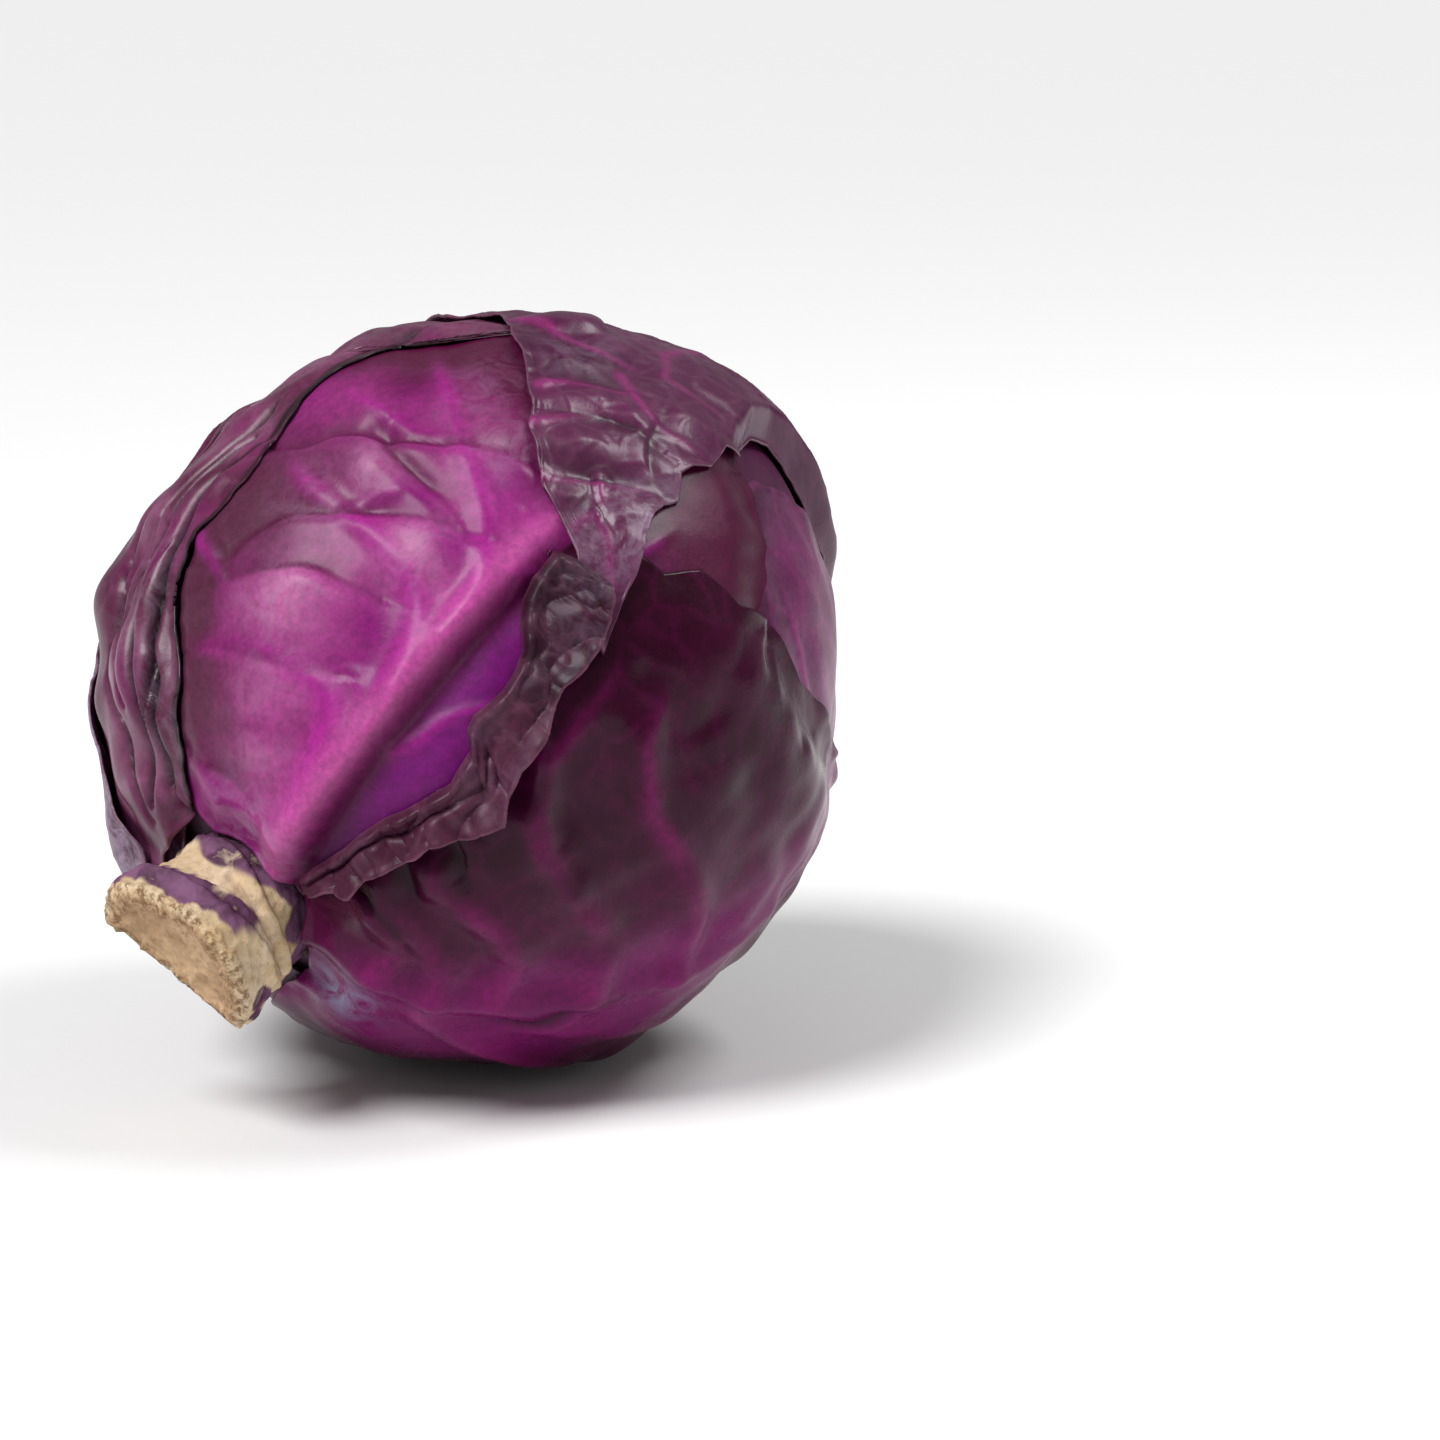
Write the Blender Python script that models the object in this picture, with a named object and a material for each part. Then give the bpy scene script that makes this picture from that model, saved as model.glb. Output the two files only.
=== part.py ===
"""Red cabbage: a whole head lying on its side, with its cut stem end toward the front left.

The head is a firm inner head wrapped in eight outer leaves, each its own closed piece, and the stump
of the stalk that they grow from. It is measured in metres, with +Z up, and the head's own directions
are a polar angle from the stalk (0 at the stump, 180 at the crown) and an angle around the stalk (0
toward the viewer, growing to the lower right).
"""

import math

import bmesh
import bpy
import numpy as np

for old in list(bpy.data.objects):
    bpy.data.objects.remove(old, do_unlink=True)

# Driving dimensions.
HEAD_RADIUS = 0.075
HEAD_HALF_LENGTH = 0.080
CENTRE_HEIGHT = 0.0745
LEAF_THICKNESS = 0.0012
LEAF_GAP = 0.00065
INNER_HEAD_DEPTH = 0.0080
STUMP_FACE_FROM_CENTRE = 0.0925
STUMP_RADIUS = 0.0180
NECK_RADIUS = 0.0150
NECK_ANGLE = 14.0

# The stalk's direction in the world, and the two directions across it.
STALK = np.array([-0.6136, -0.6556, -0.4413])
STALK = STALK / np.linalg.norm(STALK)
CROWN = -STALK
UPRIGHT = np.array([0.0, -0.978148, 0.207912])
ACROSS = UPRIGHT - UPRIGHT.dot(CROWN) * CROWN
ACROSS = ACROSS / np.linalg.norm(ACROSS)
BESIDE = np.cross(CROWN, ACROSS)
FRAME = np.array([ACROSS, BESIDE, CROWN])
CENTRE = np.array([0.0, 0.0, CENTRE_HEIGHT])

# Broad swellings and flats of the head: polar angle, angle around, height, spread in degrees.
SWELLS = (
    (147.0, 0.0, 0.0040, 20.0),
    (118.0, -62.0, -0.0018, 14.0),
    (92.0, -80.0, -0.0015, 12.0),
    (62.0, -96.0, 0.0028, 13.0),
    (35.0, -122.0, -0.0018, 12.0),
    (43.0, 118.0, -0.0016, 12.0),
    (68.0, 99.0, 0.0014, 12.0),
)


def direction(theta, phi):
    """Unit vectors in the head's frame from degrees along and around the stalk."""
    t = np.radians(theta)
    p = np.radians(phi)
    return np.stack([np.sin(t) * np.cos(p), np.sin(t) * np.sin(p), -np.cos(t)], axis=-1)


def world(local):
    """Points of the head's frame, in the world."""
    return local @ FRAME + CENTRE


def form(dirs):
    """The head's outer radius in each direction."""
    side = np.hypot(dirs[..., 0], dirs[..., 1])
    radius = 1.0 / np.sqrt((side / HEAD_RADIUS) ** 2 + (dirs[..., 2] / HEAD_HALF_LENGTH) ** 2)
    for theta, phi, height, spread in SWELLS:
        away = np.degrees(np.arccos(np.clip(dirs @ direction(theta, phi), -1.0, 1.0)))
        radius = radius + height * np.exp(-((away / spread) ** 2))
    return radius


def above_rest(radius, dirs, depth):
    """Holds a radius inside the plane that lies depth above the surface the head rests on."""
    down = -(dirs @ FRAME)[..., 2]
    plane = (CENTRE_HEIGHT - depth) / np.maximum(down, 0.2)
    soft = 0.0002
    return -soft * np.logaddexp(-radius / soft, -plane / soft)


def resting_form(dirs):
    """The form with the flat that it rests on."""
    return above_rest(form(dirs), dirs, 0.0)


# The outer surface so far, as radii on a grid of directions, so that each leaf lies on those below.
STEP = 2.0
ROWS = int(180 / STEP)
COLS = int(360 / STEP)
ROW_ANGLES = (np.arange(ROWS) + 0.5) * STEP
COL_ANGLES = -180.0 + (np.arange(COLS) + 0.5) * STEP
GRID_DIRS = direction(*np.meshgrid(ROW_ANGLES, COL_ANGLES, indexing="ij"))


def sample(grid, dirs):
    """Reads the grid in any direction, bilinearly."""
    theta = np.degrees(np.arccos(np.clip(-dirs[..., 2], -1.0, 1.0)))
    phi = np.degrees(np.arctan2(dirs[..., 1], dirs[..., 0]))
    row = np.clip(theta / STEP - 0.5, 0.0, ROWS - 1.001)
    col = (phi + 180.0) / STEP - 0.5
    i = np.floor(row).astype(int)
    j = np.floor(col).astype(int)
    u = row - i
    v = col - j
    near = grid[i, j % COLS] * (1 - v) + grid[i, (j + 1) % COLS] * v
    far = grid[i + 1, j % COLS] * (1 - v) + grid[i + 1, (j + 1) % COLS] * v
    return near * (1 - u) + far * u


def along_rows(grid, reach, use_max):
    """Spreads each row sideways by the same distance on the sphere."""
    result = np.empty_like(grid)
    for i in range(ROWS):
        width = STEP * math.sin(math.radians(ROW_ANGLES[i]))
        count = min(COLS // 2 - 1, int(math.ceil(reach / width)))
        shifts = range(-count, count + 1)
        moved = np.array([np.roll(grid[i], s) for s in shifts])
        if use_max:
            result[i] = moved.max(axis=0)
        else:
            weight = np.exp(-2.0 * (np.array(list(shifts)) * width / reach) ** 2)
            result[i] = (moved * weight[:, None]).sum(axis=0) / weight.sum()
    return result


def along_columns(grid, reach, use_max):
    """Spreads each column up and down, over both poles."""
    count = int(math.ceil(reach / STEP))
    first = np.roll(grid[:count][::-1], COLS // 2, axis=1)
    last = np.roll(grid[-count:][::-1], COLS // 2, axis=1)
    padded = np.concatenate([first, grid, last])
    moved = np.array([padded[k : k + ROWS] for k in range(2 * count + 1)])
    if use_max:
        return moved.max(axis=0)
    weight = np.exp(-2.0 * ((np.arange(2 * count + 1) - count) * STEP / reach) ** 2)
    return (moved * weight[:, None, None]).sum(axis=0) / weight.sum()


def draped(grid, reach, soften):
    """How far from the resting form a smooth surface lies that clears every step of the grid."""
    steps = grid - resting_form(GRID_DIRS)
    high = along_columns(along_rows(steps, reach, True), reach, True)
    return along_columns(along_rows(high, soften, False), soften, False)


def path_distance(dirs, path):
    """Distance in metres from each direction to a path over the head, and how far along it."""
    points = direction(np.array([p[0] for p in path], float), np.array([p[1] for p in path], float))
    best = np.full(dirs.shape[:-1], 9.0)
    along = np.zeros(dirs.shape[:-1])
    for k in range(len(points) - 1):
        step = points[k + 1] - points[k]
        t = np.clip(((dirs - points[k]) @ step) / step.dot(step), 0.0, 1.0)
        off = np.linalg.norm(dirs - points[k] - t[..., None] * step, axis=-1)
        nearer = off < best
        best = np.where(nearer, off, best)
        along = np.where(nearer, (k + t) / (len(points) - 1), along)
    return best * HEAD_RADIUS, along


def ridges(dirs, lines):
    """Adds up raised or sunken lines: path, height and half-width at each end."""
    total = np.zeros(dirs.shape[:-1])
    for path, height, end_height, width, end_width in lines:
        off, along = path_distance(dirs, path)
        h = height + (end_height - height) * along
        w = width + (end_width - width) * along
        total = total + h * np.exp(-((off / w) ** 2))
    return total


def around(centre):
    """Three directions for a leaf: its middle, and two square to it, the first toward the stump."""
    middle = direction(*centre)
    toward = np.array([0.0, 0.0, -1.0]) + middle[2] * middle
    toward = toward / np.linalg.norm(toward)
    return middle, toward, np.cross(middle, toward)


def leaf_reach(turn, centre, margin, waviness, seed):
    """How far the leaf's margin is from its middle, in degrees, for each turn about the middle."""
    middle, toward, side = around(centre)
    points = direction(np.array([p[0] for p in margin], float), np.array([p[1] for p in margin], float))
    away = np.degrees(np.arccos(np.clip(points @ middle, -1.0, 1.0)))
    turns = np.arctan2(points @ side, points @ toward)
    order = np.argsort(turns)
    reach = np.interp(turn, turns[order], away[order], period=2 * math.pi)
    rng = np.random.default_rng(seed)
    for wave in (5, 9, 14):
        reach = reach + waviness * rng.uniform(0.3, 1.0) * np.sin(wave * turn + rng.uniform(0, 6.28))
    cos_c = math.cos(math.radians(centre[0]))
    sin_c = math.sin(math.radians(centre[0]))
    size = np.sqrt(cos_c**2 + (sin_c * np.cos(turn)) ** 2)
    lean = np.arctan2(sin_c * np.cos(turn), cos_c)
    inside = np.clip(math.cos(math.radians(NECK_ANGLE)) / size, -1.0, 1.0)
    entry = np.degrees(lean - np.arccos(inside))
    crosses = (size > math.cos(math.radians(NECK_ANGLE))) & (entry > 0)
    return np.where(crosses, np.minimum(reach, entry), reach)


def oval(centre, toward_stump, toward_crown, half_width, count=24):
    """A broad oval margin about a leaf's middle, as polar angle and angle around."""
    middle, toward, side = around(centre)
    found = []
    for turn in np.arange(count) * 2 * math.pi / count:
        ahead = math.cos(turn)
        length = toward_stump if ahead > 0 else toward_crown
        reach = 1.0 / math.sqrt((ahead / length) ** 2 + (math.sin(turn) / half_width) ** 2)
        r = math.radians(reach)
        point = math.cos(r) * middle + math.sin(r) * (ahead * toward + math.sin(turn) * side)
        theta = math.degrees(math.acos(-point[2]))
        found.append((theta, math.degrees(math.atan2(point[1], point[0]))))
    return found


def disc_from_square(x, y):
    """Maps the square from -1 to 1 onto a disc smoothly: radius and turn."""
    u = x * np.sqrt(1.0 - y * y / 2.0)
    v = y * np.sqrt(1.0 - x * x / 2.0)
    return np.hypot(u, v), np.arctan2(v, u)


def round_leaf(centre, margin, waviness, seed):
    """A leaf spread about its middle: where its grid lies, and which directions it covers."""
    middle, toward, side = around(centre)

    def layout(x, y):
        radius, turn = disc_from_square(x, y)
        away = np.radians(radius * leaf_reach(turn, centre, margin, waviness, seed))
        out = np.cos(turn)[:, None] * toward + np.sin(turn)[:, None] * side
        return np.cos(away)[:, None] * middle + np.sin(away)[:, None] * out

    def covers(dirs):
        away = np.degrees(np.arccos(np.clip(dirs @ middle, -1.0, 1.0)))
        turn = np.arctan2(dirs @ side, dirs @ toward)
        return away < leaf_reach(turn, centre, margin, waviness, seed) + 1.0

    return layout, covers


def long_leaf(start, margins):
    """A leaf laid out along its rib, from rows of angle along the rib and the margin on each side."""
    ahead = direction(90.0, start)
    side = direction(90.0, start + 90.0)
    along, right, left = np.array(margins, float).T

    def layout(x, y):
        a = along[0] + (along[-1] - along[0]) * (x + 1) / 2
        b = np.interp(a, along, right) * (1 - y) / 2 + np.interp(a, along, left) * (1 + y) / 2
        a = np.radians(a)[:, None]
        b = np.radians(b)[:, None]
        rib = np.sin(a) * ahead - np.cos(a) * np.array([0.0, 0.0, 1.0])
        return np.cos(b) * rib + np.sin(b) * side

    def covers(dirs):
        a = np.degrees(np.arctan2(dirs @ ahead, -dirs[..., 2])) % 360.0
        b = np.degrees(np.arcsin(np.clip(dirs @ side, -1.0, 1.0)))
        inside = (b > np.interp(a, along, right) - 1.0) & (b < np.interp(a, along, left) + 1.0)
        return inside & (a > along[0] - 1.0) & (a < along[-1] + 1.0)

    return layout, covers


def material(name, colour, roughness):
    made = bpy.data.materials.new(name)
    made.use_nodes = True
    shader = made.node_tree.nodes["Principled BSDF"]
    shader.inputs["Base Color"].default_value = (*colour, 1.0)
    shader.inputs["Roughness"].default_value = roughness
    return made


def piece(name, mesh, colour, roughness):
    """Puts a finished mesh in the cabbage's collection, smooth, with its own material."""
    mesh.materials.append(material(name + "_skin", colour, roughness))
    for polygon in mesh.polygons:
        polygon.use_smooth = True
    made = bpy.data.objects.new(name, mesh)
    CABBAGE.objects.link(made)
    return made


CABBAGE = bpy.data.collections.new("red_cabbage")
bpy.context.scene.collection.children.link(CABBAGE)


def leaf(name, top, shape, depth, rest_depth, lines, colour, divisions):
    """A closed leaf draped over the surface so far. Returns that surface with the leaf added."""
    base_grid = draped(top, 11.0, 5.0) + LEAF_GAP

    def surfaces(dirs):
        """Inner and outer radius of the leaf."""
        lowest = resting_form(dirs) + sample(base_grid, dirs)
        inner = np.maximum(lowest, form(dirs) - depth - LEAF_THICKNESS)
        inner = above_rest(inner, dirs, rest_depth + LEAF_THICKNESS)
        outer = inner + LEAF_THICKNESS + np.maximum(ridges(dirs, lines), -0.0003)
        down = -(dirs @ FRAME)[..., 2]
        plane = (CENTRE_HEIGHT - rest_depth) / np.maximum(down, 0.2)
        outer = np.minimum(outer, plane)
        if rest_depth == 0.0:
            outer = np.where(outer > plane - 0.0004, plane, outer)
        return inner, outer

    layout, covers = shape
    mesh_source = bmesh.new()
    bmesh.ops.create_grid(mesh_source, x_segments=divisions[0], y_segments=divisions[1], size=1.0)
    tag = mesh_source.verts.layers.int.new("place")
    for k, vertex in enumerate(mesh_source.verts):
        vertex[tag] = k
    x = np.array([vertex.co.x for vertex in mesh_source.verts])
    y = np.array([vertex.co.y for vertex in mesh_source.verts])
    dirs = layout(x, y)
    inner, outer = surfaces(dirs)
    low = world(dirs * inner[:, None])
    high = world(dirs * outer[:, None])
    for vertex in mesh_source.verts:
        vertex.co = low[vertex[tag]]
    bmesh.ops.triangulate(mesh_source, faces=mesh_source.faces[:], quad_method="SHORT_EDGE")
    extruded = bmesh.ops.extrude_face_region(mesh_source, geom=mesh_source.faces[:], use_keep_orig=True)
    raised = {item for item in extruded["geom"] if isinstance(item, bmesh.types.BMVert)}
    for vertex in mesh_source.verts:
        if vertex in raised:
            vertex.co = high[vertex[tag]]
    bmesh.ops.recalc_face_normals(mesh_source, faces=mesh_source.faces[:])
    if mesh_source.calc_volume(signed=True) < 0:
        bmesh.ops.reverse_faces(mesh_source, faces=mesh_source.faces[:])
    mesh = bpy.data.meshes.new(name)
    mesh_source.to_mesh(mesh)
    mesh_source.free()
    piece(name, mesh, colour, 0.35)

    return np.where(covers(GRID_DIRS), np.maximum(top, surfaces(GRID_DIRS)[1]), top)


# The firm inner head, whose tightly wrapped leaves show only as low folds running up to the crown.
INNER_FOLDS = (
    (((20, 30), (60, 25), (100, 10), (150, -30)), 0.0009, 0.0003, 0.006, 0.005),
    (((20, 150), (60, 140), (100, 120), (150, 60)), 0.0009, 0.0003, 0.006, 0.005),
    (((20, -90), (60, -95), (100, -120), (150, -160)), 0.0009, 0.0003, 0.006, 0.005),
)


def inner_radius(dirs):
    """The inner head sinks a little around the stalk, where the leaves leave it."""
    from_stump = np.degrees(np.arccos(np.clip(-dirs[..., 2], -1.0, 1.0)))
    dimple = 0.0030 * np.exp(-((from_stump / 17.0) ** 2))
    radius = form(dirs) - INNER_HEAD_DEPTH - dimple + ridges(dirs, INNER_FOLDS)
    return above_rest(radius, dirs, 0.0060)


ball = bmesh.new()
bmesh.ops.create_icosphere(ball, subdivisions=4, radius=1.0)
dirs = np.array([vertex.co[:] for vertex in ball.verts])
dirs = dirs / np.linalg.norm(dirs, axis=1)[:, None]
places = world(dirs * inner_radius(dirs)[:, None])
for vertex, place in zip(ball.verts, places):
    vertex.co = place
bmesh.ops.recalc_face_normals(ball, faces=ball.faces[:])
ball_mesh = bpy.data.meshes.new("inner_head")
ball.to_mesh(ball_mesh)
ball.free()
piece("inner_head", ball_mesh, (0.13, 0.03, 0.10), 0.40)
TOP = inner_radius(GRID_DIRS)

# The stump of the stalk: a short neck that widens to a cut face with one straight side.
STUMP_PROFILE = (
    (0.0003, 0.0128),
    (0.0030, NECK_RADIUS),
    (0.0110, NECK_RADIUS),
    (0.0160, 0.0162),
    (0.0200, STUMP_RADIUS),
    (0.0238, STUMP_RADIUS),
    (0.0250, 0.0170),
)
STUMP_SIDES = 28
# A second, slanting cut takes off the stump's lower side, so that its face has one straight side.
SLANT_FROM_AXIS = 0.0040
SLANT_SLOPE = 0.95
SLANT_DIRECTION = math.radians(165.6)
stump_start = float(inner_radius(direction(0.0, 0.0)))
stump_length = STUMP_FACE_FROM_CENTRE - stump_start
stump = bmesh.new()
level_tag = stump.verts.layers.int.new("level")
outline = ((STUMP_PROFILE[0][0], 0.0), *STUMP_PROFILE, (STUMP_PROFILE[-1][0], 0.0))
corners = [stump.verts.new((radius, 0.0, height)) for height, radius in outline]
for level, vertex in enumerate(corners):
    vertex[level_tag] = level
stump_edges = [stump.edges.new(pair) for pair in zip(corners, corners[1:])]
bmesh.ops.spin(
    stump,
    geom=corners + stump_edges,
    cent=(0.0, 0.0, 0.0),
    axis=(0.0, 0.0, 1.0),
    angle=2 * math.pi,
    steps=STUMP_SIDES,
    use_merge=True,
)
bmesh.ops.remove_doubles(stump, verts=stump.verts[:], dist=1e-6)
for vertex in stump.verts:
    level = vertex[level_tag]
    turn = math.atan2(vertex.co.y, vertex.co.x)
    radius = math.hypot(vertex.co.x, vertex.co.y)
    if level > 2:
        radius *= 1.0 + 0.05 * math.sin(3 * turn + 0.8) + 0.03 * math.sin(5 * turn + 2.0 + level)
    reach = vertex.co.z / 0.0250 * stump_length
    slant = SLANT_FROM_AXIS + SLANT_SLOPE * (stump_length - reach)
    radius = min(radius, slant / max(math.cos(turn - SLANT_DIRECTION), 0.05))
    vertex.co = world(np.array([radius * math.cos(turn), radius * math.sin(turn), -(stump_start + reach)]))
bmesh.ops.triangulate(stump, faces=stump.faces[:])
bmesh.ops.recalc_face_normals(stump, faces=stump.faces[:])
stump_mesh = bpy.data.meshes.new("stump")
stump.to_mesh(stump_mesh)
stump.free()
piece("stump", stump_mesh, (0.72, 0.55, 0.36), 0.75)

# The back leaf, low on the side away from the viewer.
TOP = leaf(
    "back_leaf",
    TOP,
    round_leaf((84.0, 178.0), oval((84.0, 178.0), 72.0, 64.0, 48.0), 1.2, 3),
    0.0060,
    0.0037,
    (
        (((14, 178), (50, 178), (90, 176), (128, 172)), 0.0010, 0.0006, 0.0070, 0.0030),
        (((45, 178), (70, 200), (95, 214)), 0.0009, 0.0004, 0.0040, 0.0030),
        (((60, 178), (85, 156), (105, 142)), 0.0009, 0.0004, 0.0040, 0.0030),
    ),
    (0.10, 0.02, 0.08),
    (16, 16),
)

# The leaf on the right, of which the upper margin shows under the crown leaf.
TOP = leaf(
    "right_leaf",
    TOP,
    round_leaf((92.0, 58.0), oval((92.0, 58.0), 80.0, 58.0, 58.0), 1.2, 5),
    0.0056,
    0.0037,
    (
        (((14, 62), (50, 62), (90, 58), (130, 50)), 0.0010, 0.0006, 0.0065, 0.0030),
        (((60, 62), (85, 40), (108, 26)), 0.0009, 0.0004, 0.0040, 0.0030),
        (((70, 60), (95, 80), (118, 96)), 0.0009, 0.0004, 0.0040, 0.0030),
    ),
    (0.13, 0.02, 0.08),
    (16, 16),
)

# The leaf underneath and behind.
TOP = leaf(
    "under_leaf",
    TOP,
    round_leaf((72.0, 142.0), oval((72.0, 142.0), 62.0, 60.0, 56.0), 1.2, 7),
    0.0040,
    0.0019,
    (
        (((14, 142), (50, 142), (90, 142), (122, 142)), 0.0010, 0.0006, 0.0065, 0.0030),
        (((45, 142), (70, 120), (90, 108)), 0.0009, 0.0004, 0.0040, 0.0030),
        (((55, 142), (80, 162), (100, 172)), 0.0009, 0.0004, 0.0040, 0.0030),
    ),
    (0.09, 0.02, 0.07),
    (16, 16),
)

# The upper left leaf, seen only along the top edge of the head.
TOP = leaf(
    "upper_left_leaf",
    TOP,
    round_leaf((82.0, -132.0), oval((82.0, -132.0), 72.0, 56.0, 56.0), 1.2, 9),
    0.0038,
    0.0019,
    (
        (((14, -132), (50, -132), (90, -130), (126, -128)), 0.0012, 0.0006, 0.0065, 0.0030),
        (((50, -132), (75, -112), (98, -98)), 0.0009, 0.0004, 0.0040, 0.0030),
    ),
    (0.12, 0.03, 0.09),
    (16, 16),
)

# The big front leaf, with its thick raised midrib and forking side veins.
FRONT_MARGIN = (
    (14, -60),
    (28, -72),
    (48, -74),
    (67, -72),
    (85, -70),
    (102, -69),
    (116, -60),
    (124, -44),
    (126, -20),
    (118, 5),
    (100, 24),
    (80, 36),
    (60, 44),
    (40, 46),
    (24, 44),
    (14, 30),
)
TOP = leaf(
    "front_leaf",
    TOP,
    round_leaf((66.0, -16.0), FRONT_MARGIN, 0.6, 11),
    0.0006,
    0.0019,
    (
        (((12, -8), (30, -9), (50, -10), (70, -11), (86, -12)), 0.0032, 0.0018, 0.0075, 0.0040),
        (((32, -10), (40, -15), (43, -21), (40, -34), (32, -48)), 0.0010, 0.0005, 0.0045, 0.0035),
        (((50, -10), (61, -20), (65, -33), (66, -56)), 0.0012, 0.0006, 0.0045, 0.0035),
        (((62, -10), (74, -14), (83, -24), (89, -35), (103, -52)), 0.0012, 0.0006, 0.0045, 0.0035),
        (((83, -24), (94, -28), (110, -30)), 0.0008, 0.0004, 0.0040, 0.0030),
    ),
    (0.42, 0.05, 0.28),
    (18, 18),
)

# The left leaf, pleated lengthways where its margin lies over the front leaf.
LEFT_MARGIN = (
    (14, -50),
    (28, -60),
    (48, -60),
    (67, -60),
    (85, -57),
    (102, -56),
    (114, -52),
    (122, -58),
    (130, -76),
    (128, -100),
    (118, -124),
    (96, -146),
    (70, -156),
    (44, -152),
    (24, -142),
    (14, -120),
)
TOP = leaf(
    "left_leaf",
    TOP,
    round_leaf((70.0, -98.0), LEFT_MARGIN, 0.8, 13),
    0.0018,
    0.0019,
    (
        (((14, -104), (40, -104), (70, -102), (110, -98)), 0.0014, 0.0006, 0.0065, 0.0030),
        (((20, -64), (48, -65), (67, -65), (85, -62), (104, -60)), 0.0022, 0.0012, 0.0036, 0.0030),
        (((24, -78), (48, -79), (70, -80), (92, -78)), 0.0022, 0.0010, 0.0040, 0.0030),
    ),
    (0.13, 0.03, 0.08),
    (18, 18),
)

# The lower right leaf, whose margin is folded back on itself in a wrinkled strip along the front leaf.
LOWER_MARGIN = (
    (17, 8),
    (26, 10),
    (35, 11),
    (43, 12),
    (49, 11),
    (56, 6),
    (64, 4),
    (71, -2),
    (80, -3),
    (92, 6),
    (106, 28),
    (116, 58),
    (118, 90),
    (110, 120),
    (92, 146),
    (64, 160),
    (38, 156),
    (20, 140),
    (14, 90),
    (14, 40),
)
TOP = leaf(
    "lower_right_leaf",
    TOP,
    round_leaf((62.0, 78.0), LOWER_MARGIN, 0.7, 17),
    0.0002,
    0.0,
    (
        (((14, 66), (34, 70), (50, 72), (66, 72), (96, 74)), 0.0024, 0.0008, 0.0065, 0.0030),
        (((19, 12), (31, 14), (40, 15), (50, 16), (63, 11), (72, 7)), 0.0020, 0.0022, 0.0055, 0.0060),
        (((36, 60), (46, 42), (52, 30), (60, 22)), 0.0008, 0.0004, 0.0040, 0.0030),
        (((52, 66), (64, 44), (76, 26)), 0.0008, 0.0004, 0.0040, 0.0030),
    ),
    (0.15, 0.02, 0.09),
    (18, 18),
)

# The crown leaf, which comes over from the back and ends in a torn tip over the front leaf's rib.
CROWN_MARGINS = (
    (14, -13, 13),
    (22, -20, 24),
    (36, -24, 34),
    (60, -28, 40),
    (90, -34, 44),
    (120, -42, 49),
    (150, -44, 54),
    (180, -40, 57),
    (194, -34, 57),
    (214, -18, 55.5),
    (226, 0, 53.5),
    (235, 11.6, 52),
    (246, 14.5, 49.6),
    (262, 12.8, 42),
    (268, 12, 38),
    (276, 10.5, 31.5),
    (280, 9.5, 19),
    (283, 8, 11),
)
TOP = leaf(
    "crown_leaf",
    TOP,
    long_leaf(-160.0, CROWN_MARGINS),
    0.0000,
    0.0,
    (
        (((14, -160), (60, -158), (110, -152), (160, -120)), 0.0018, 0.0010, 0.0065, 0.0035),
        (((160, -120), (150, -30), (110, -10), (90, 2)), 0.0010, 0.0005, 0.0035, 0.0030),
    ),
    (0.12, 0.04, 0.10),
    (30, 12),
)
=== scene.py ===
"""Red cabbage: a whole head on its side, wrapped in eight outer leaves, seen from a little above.

Lengths are in metres. Places on the head are angles in degrees in the head's own directions: along a
leaf's rib from the stump at 0 over the equator at 90 to the crown at 180, and across the rib to
either side.
"""

import math

import bmesh
import bpy
import numpy as np
from mathutils import Matrix, Vector, kdtree


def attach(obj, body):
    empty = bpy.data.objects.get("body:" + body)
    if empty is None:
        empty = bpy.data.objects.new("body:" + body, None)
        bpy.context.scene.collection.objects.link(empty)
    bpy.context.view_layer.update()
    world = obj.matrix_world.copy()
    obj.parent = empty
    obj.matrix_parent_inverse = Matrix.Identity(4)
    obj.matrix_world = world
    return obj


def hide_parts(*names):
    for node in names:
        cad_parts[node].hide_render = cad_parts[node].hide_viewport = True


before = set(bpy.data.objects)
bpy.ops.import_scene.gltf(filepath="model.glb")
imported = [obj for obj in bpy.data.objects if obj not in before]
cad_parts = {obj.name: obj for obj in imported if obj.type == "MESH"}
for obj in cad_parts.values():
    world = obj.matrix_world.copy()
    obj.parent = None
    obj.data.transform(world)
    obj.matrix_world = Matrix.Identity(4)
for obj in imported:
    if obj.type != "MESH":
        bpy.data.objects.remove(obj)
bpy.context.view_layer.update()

# The camera and the stage.
# A long lens a little above the head's middle, a plain pale floor with no edge in sight, and soft
# light from a broad sun at the upper left, a panel above at the right, and a pale room all round.
IMAGE = 1440
HEAD_AT_PIXEL = (485, 692)
PIXELS_PER_METRE = 4930.0
CAMERA_DISTANCE = 0.90
SENSOR_WIDTH = 36.0
CAMERA_ELEVATION = math.radians(12.0)
HEAD_CENTRE = np.array([0.0, 0.0, 0.0745])

right = Vector((1, 0, 0))
up = Vector((0, math.sin(CAMERA_ELEVATION), math.cos(CAMERA_ELEVATION)))
toward_viewer = right.cross(up)
aside = (HEAD_AT_PIXEL[0] - IMAGE / 2) / PIXELS_PER_METRE
above = (IMAGE / 2 - HEAD_AT_PIXEL[1]) / PIXELS_PER_METRE
camera_data = bpy.data.cameras.new("camera")
camera_data.sensor_width = SENSOR_WIDTH
camera_data.lens = SENSOR_WIDTH * PIXELS_PER_METRE * CAMERA_DISTANCE / IMAGE
camera = bpy.data.objects.new("camera", camera_data)
bpy.context.scene.collection.objects.link(camera)
eye = Vector(HEAD_CENTRE) - aside * right - above * up + CAMERA_DISTANCE * toward_viewer
camera.matrix_world = Matrix.Translation(eye) @ Matrix((right, up, toward_viewer)).transposed().to_4x4()
bpy.context.scene.camera = camera
bpy.context.scene.view_settings.view_transform = "Standard"

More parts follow.
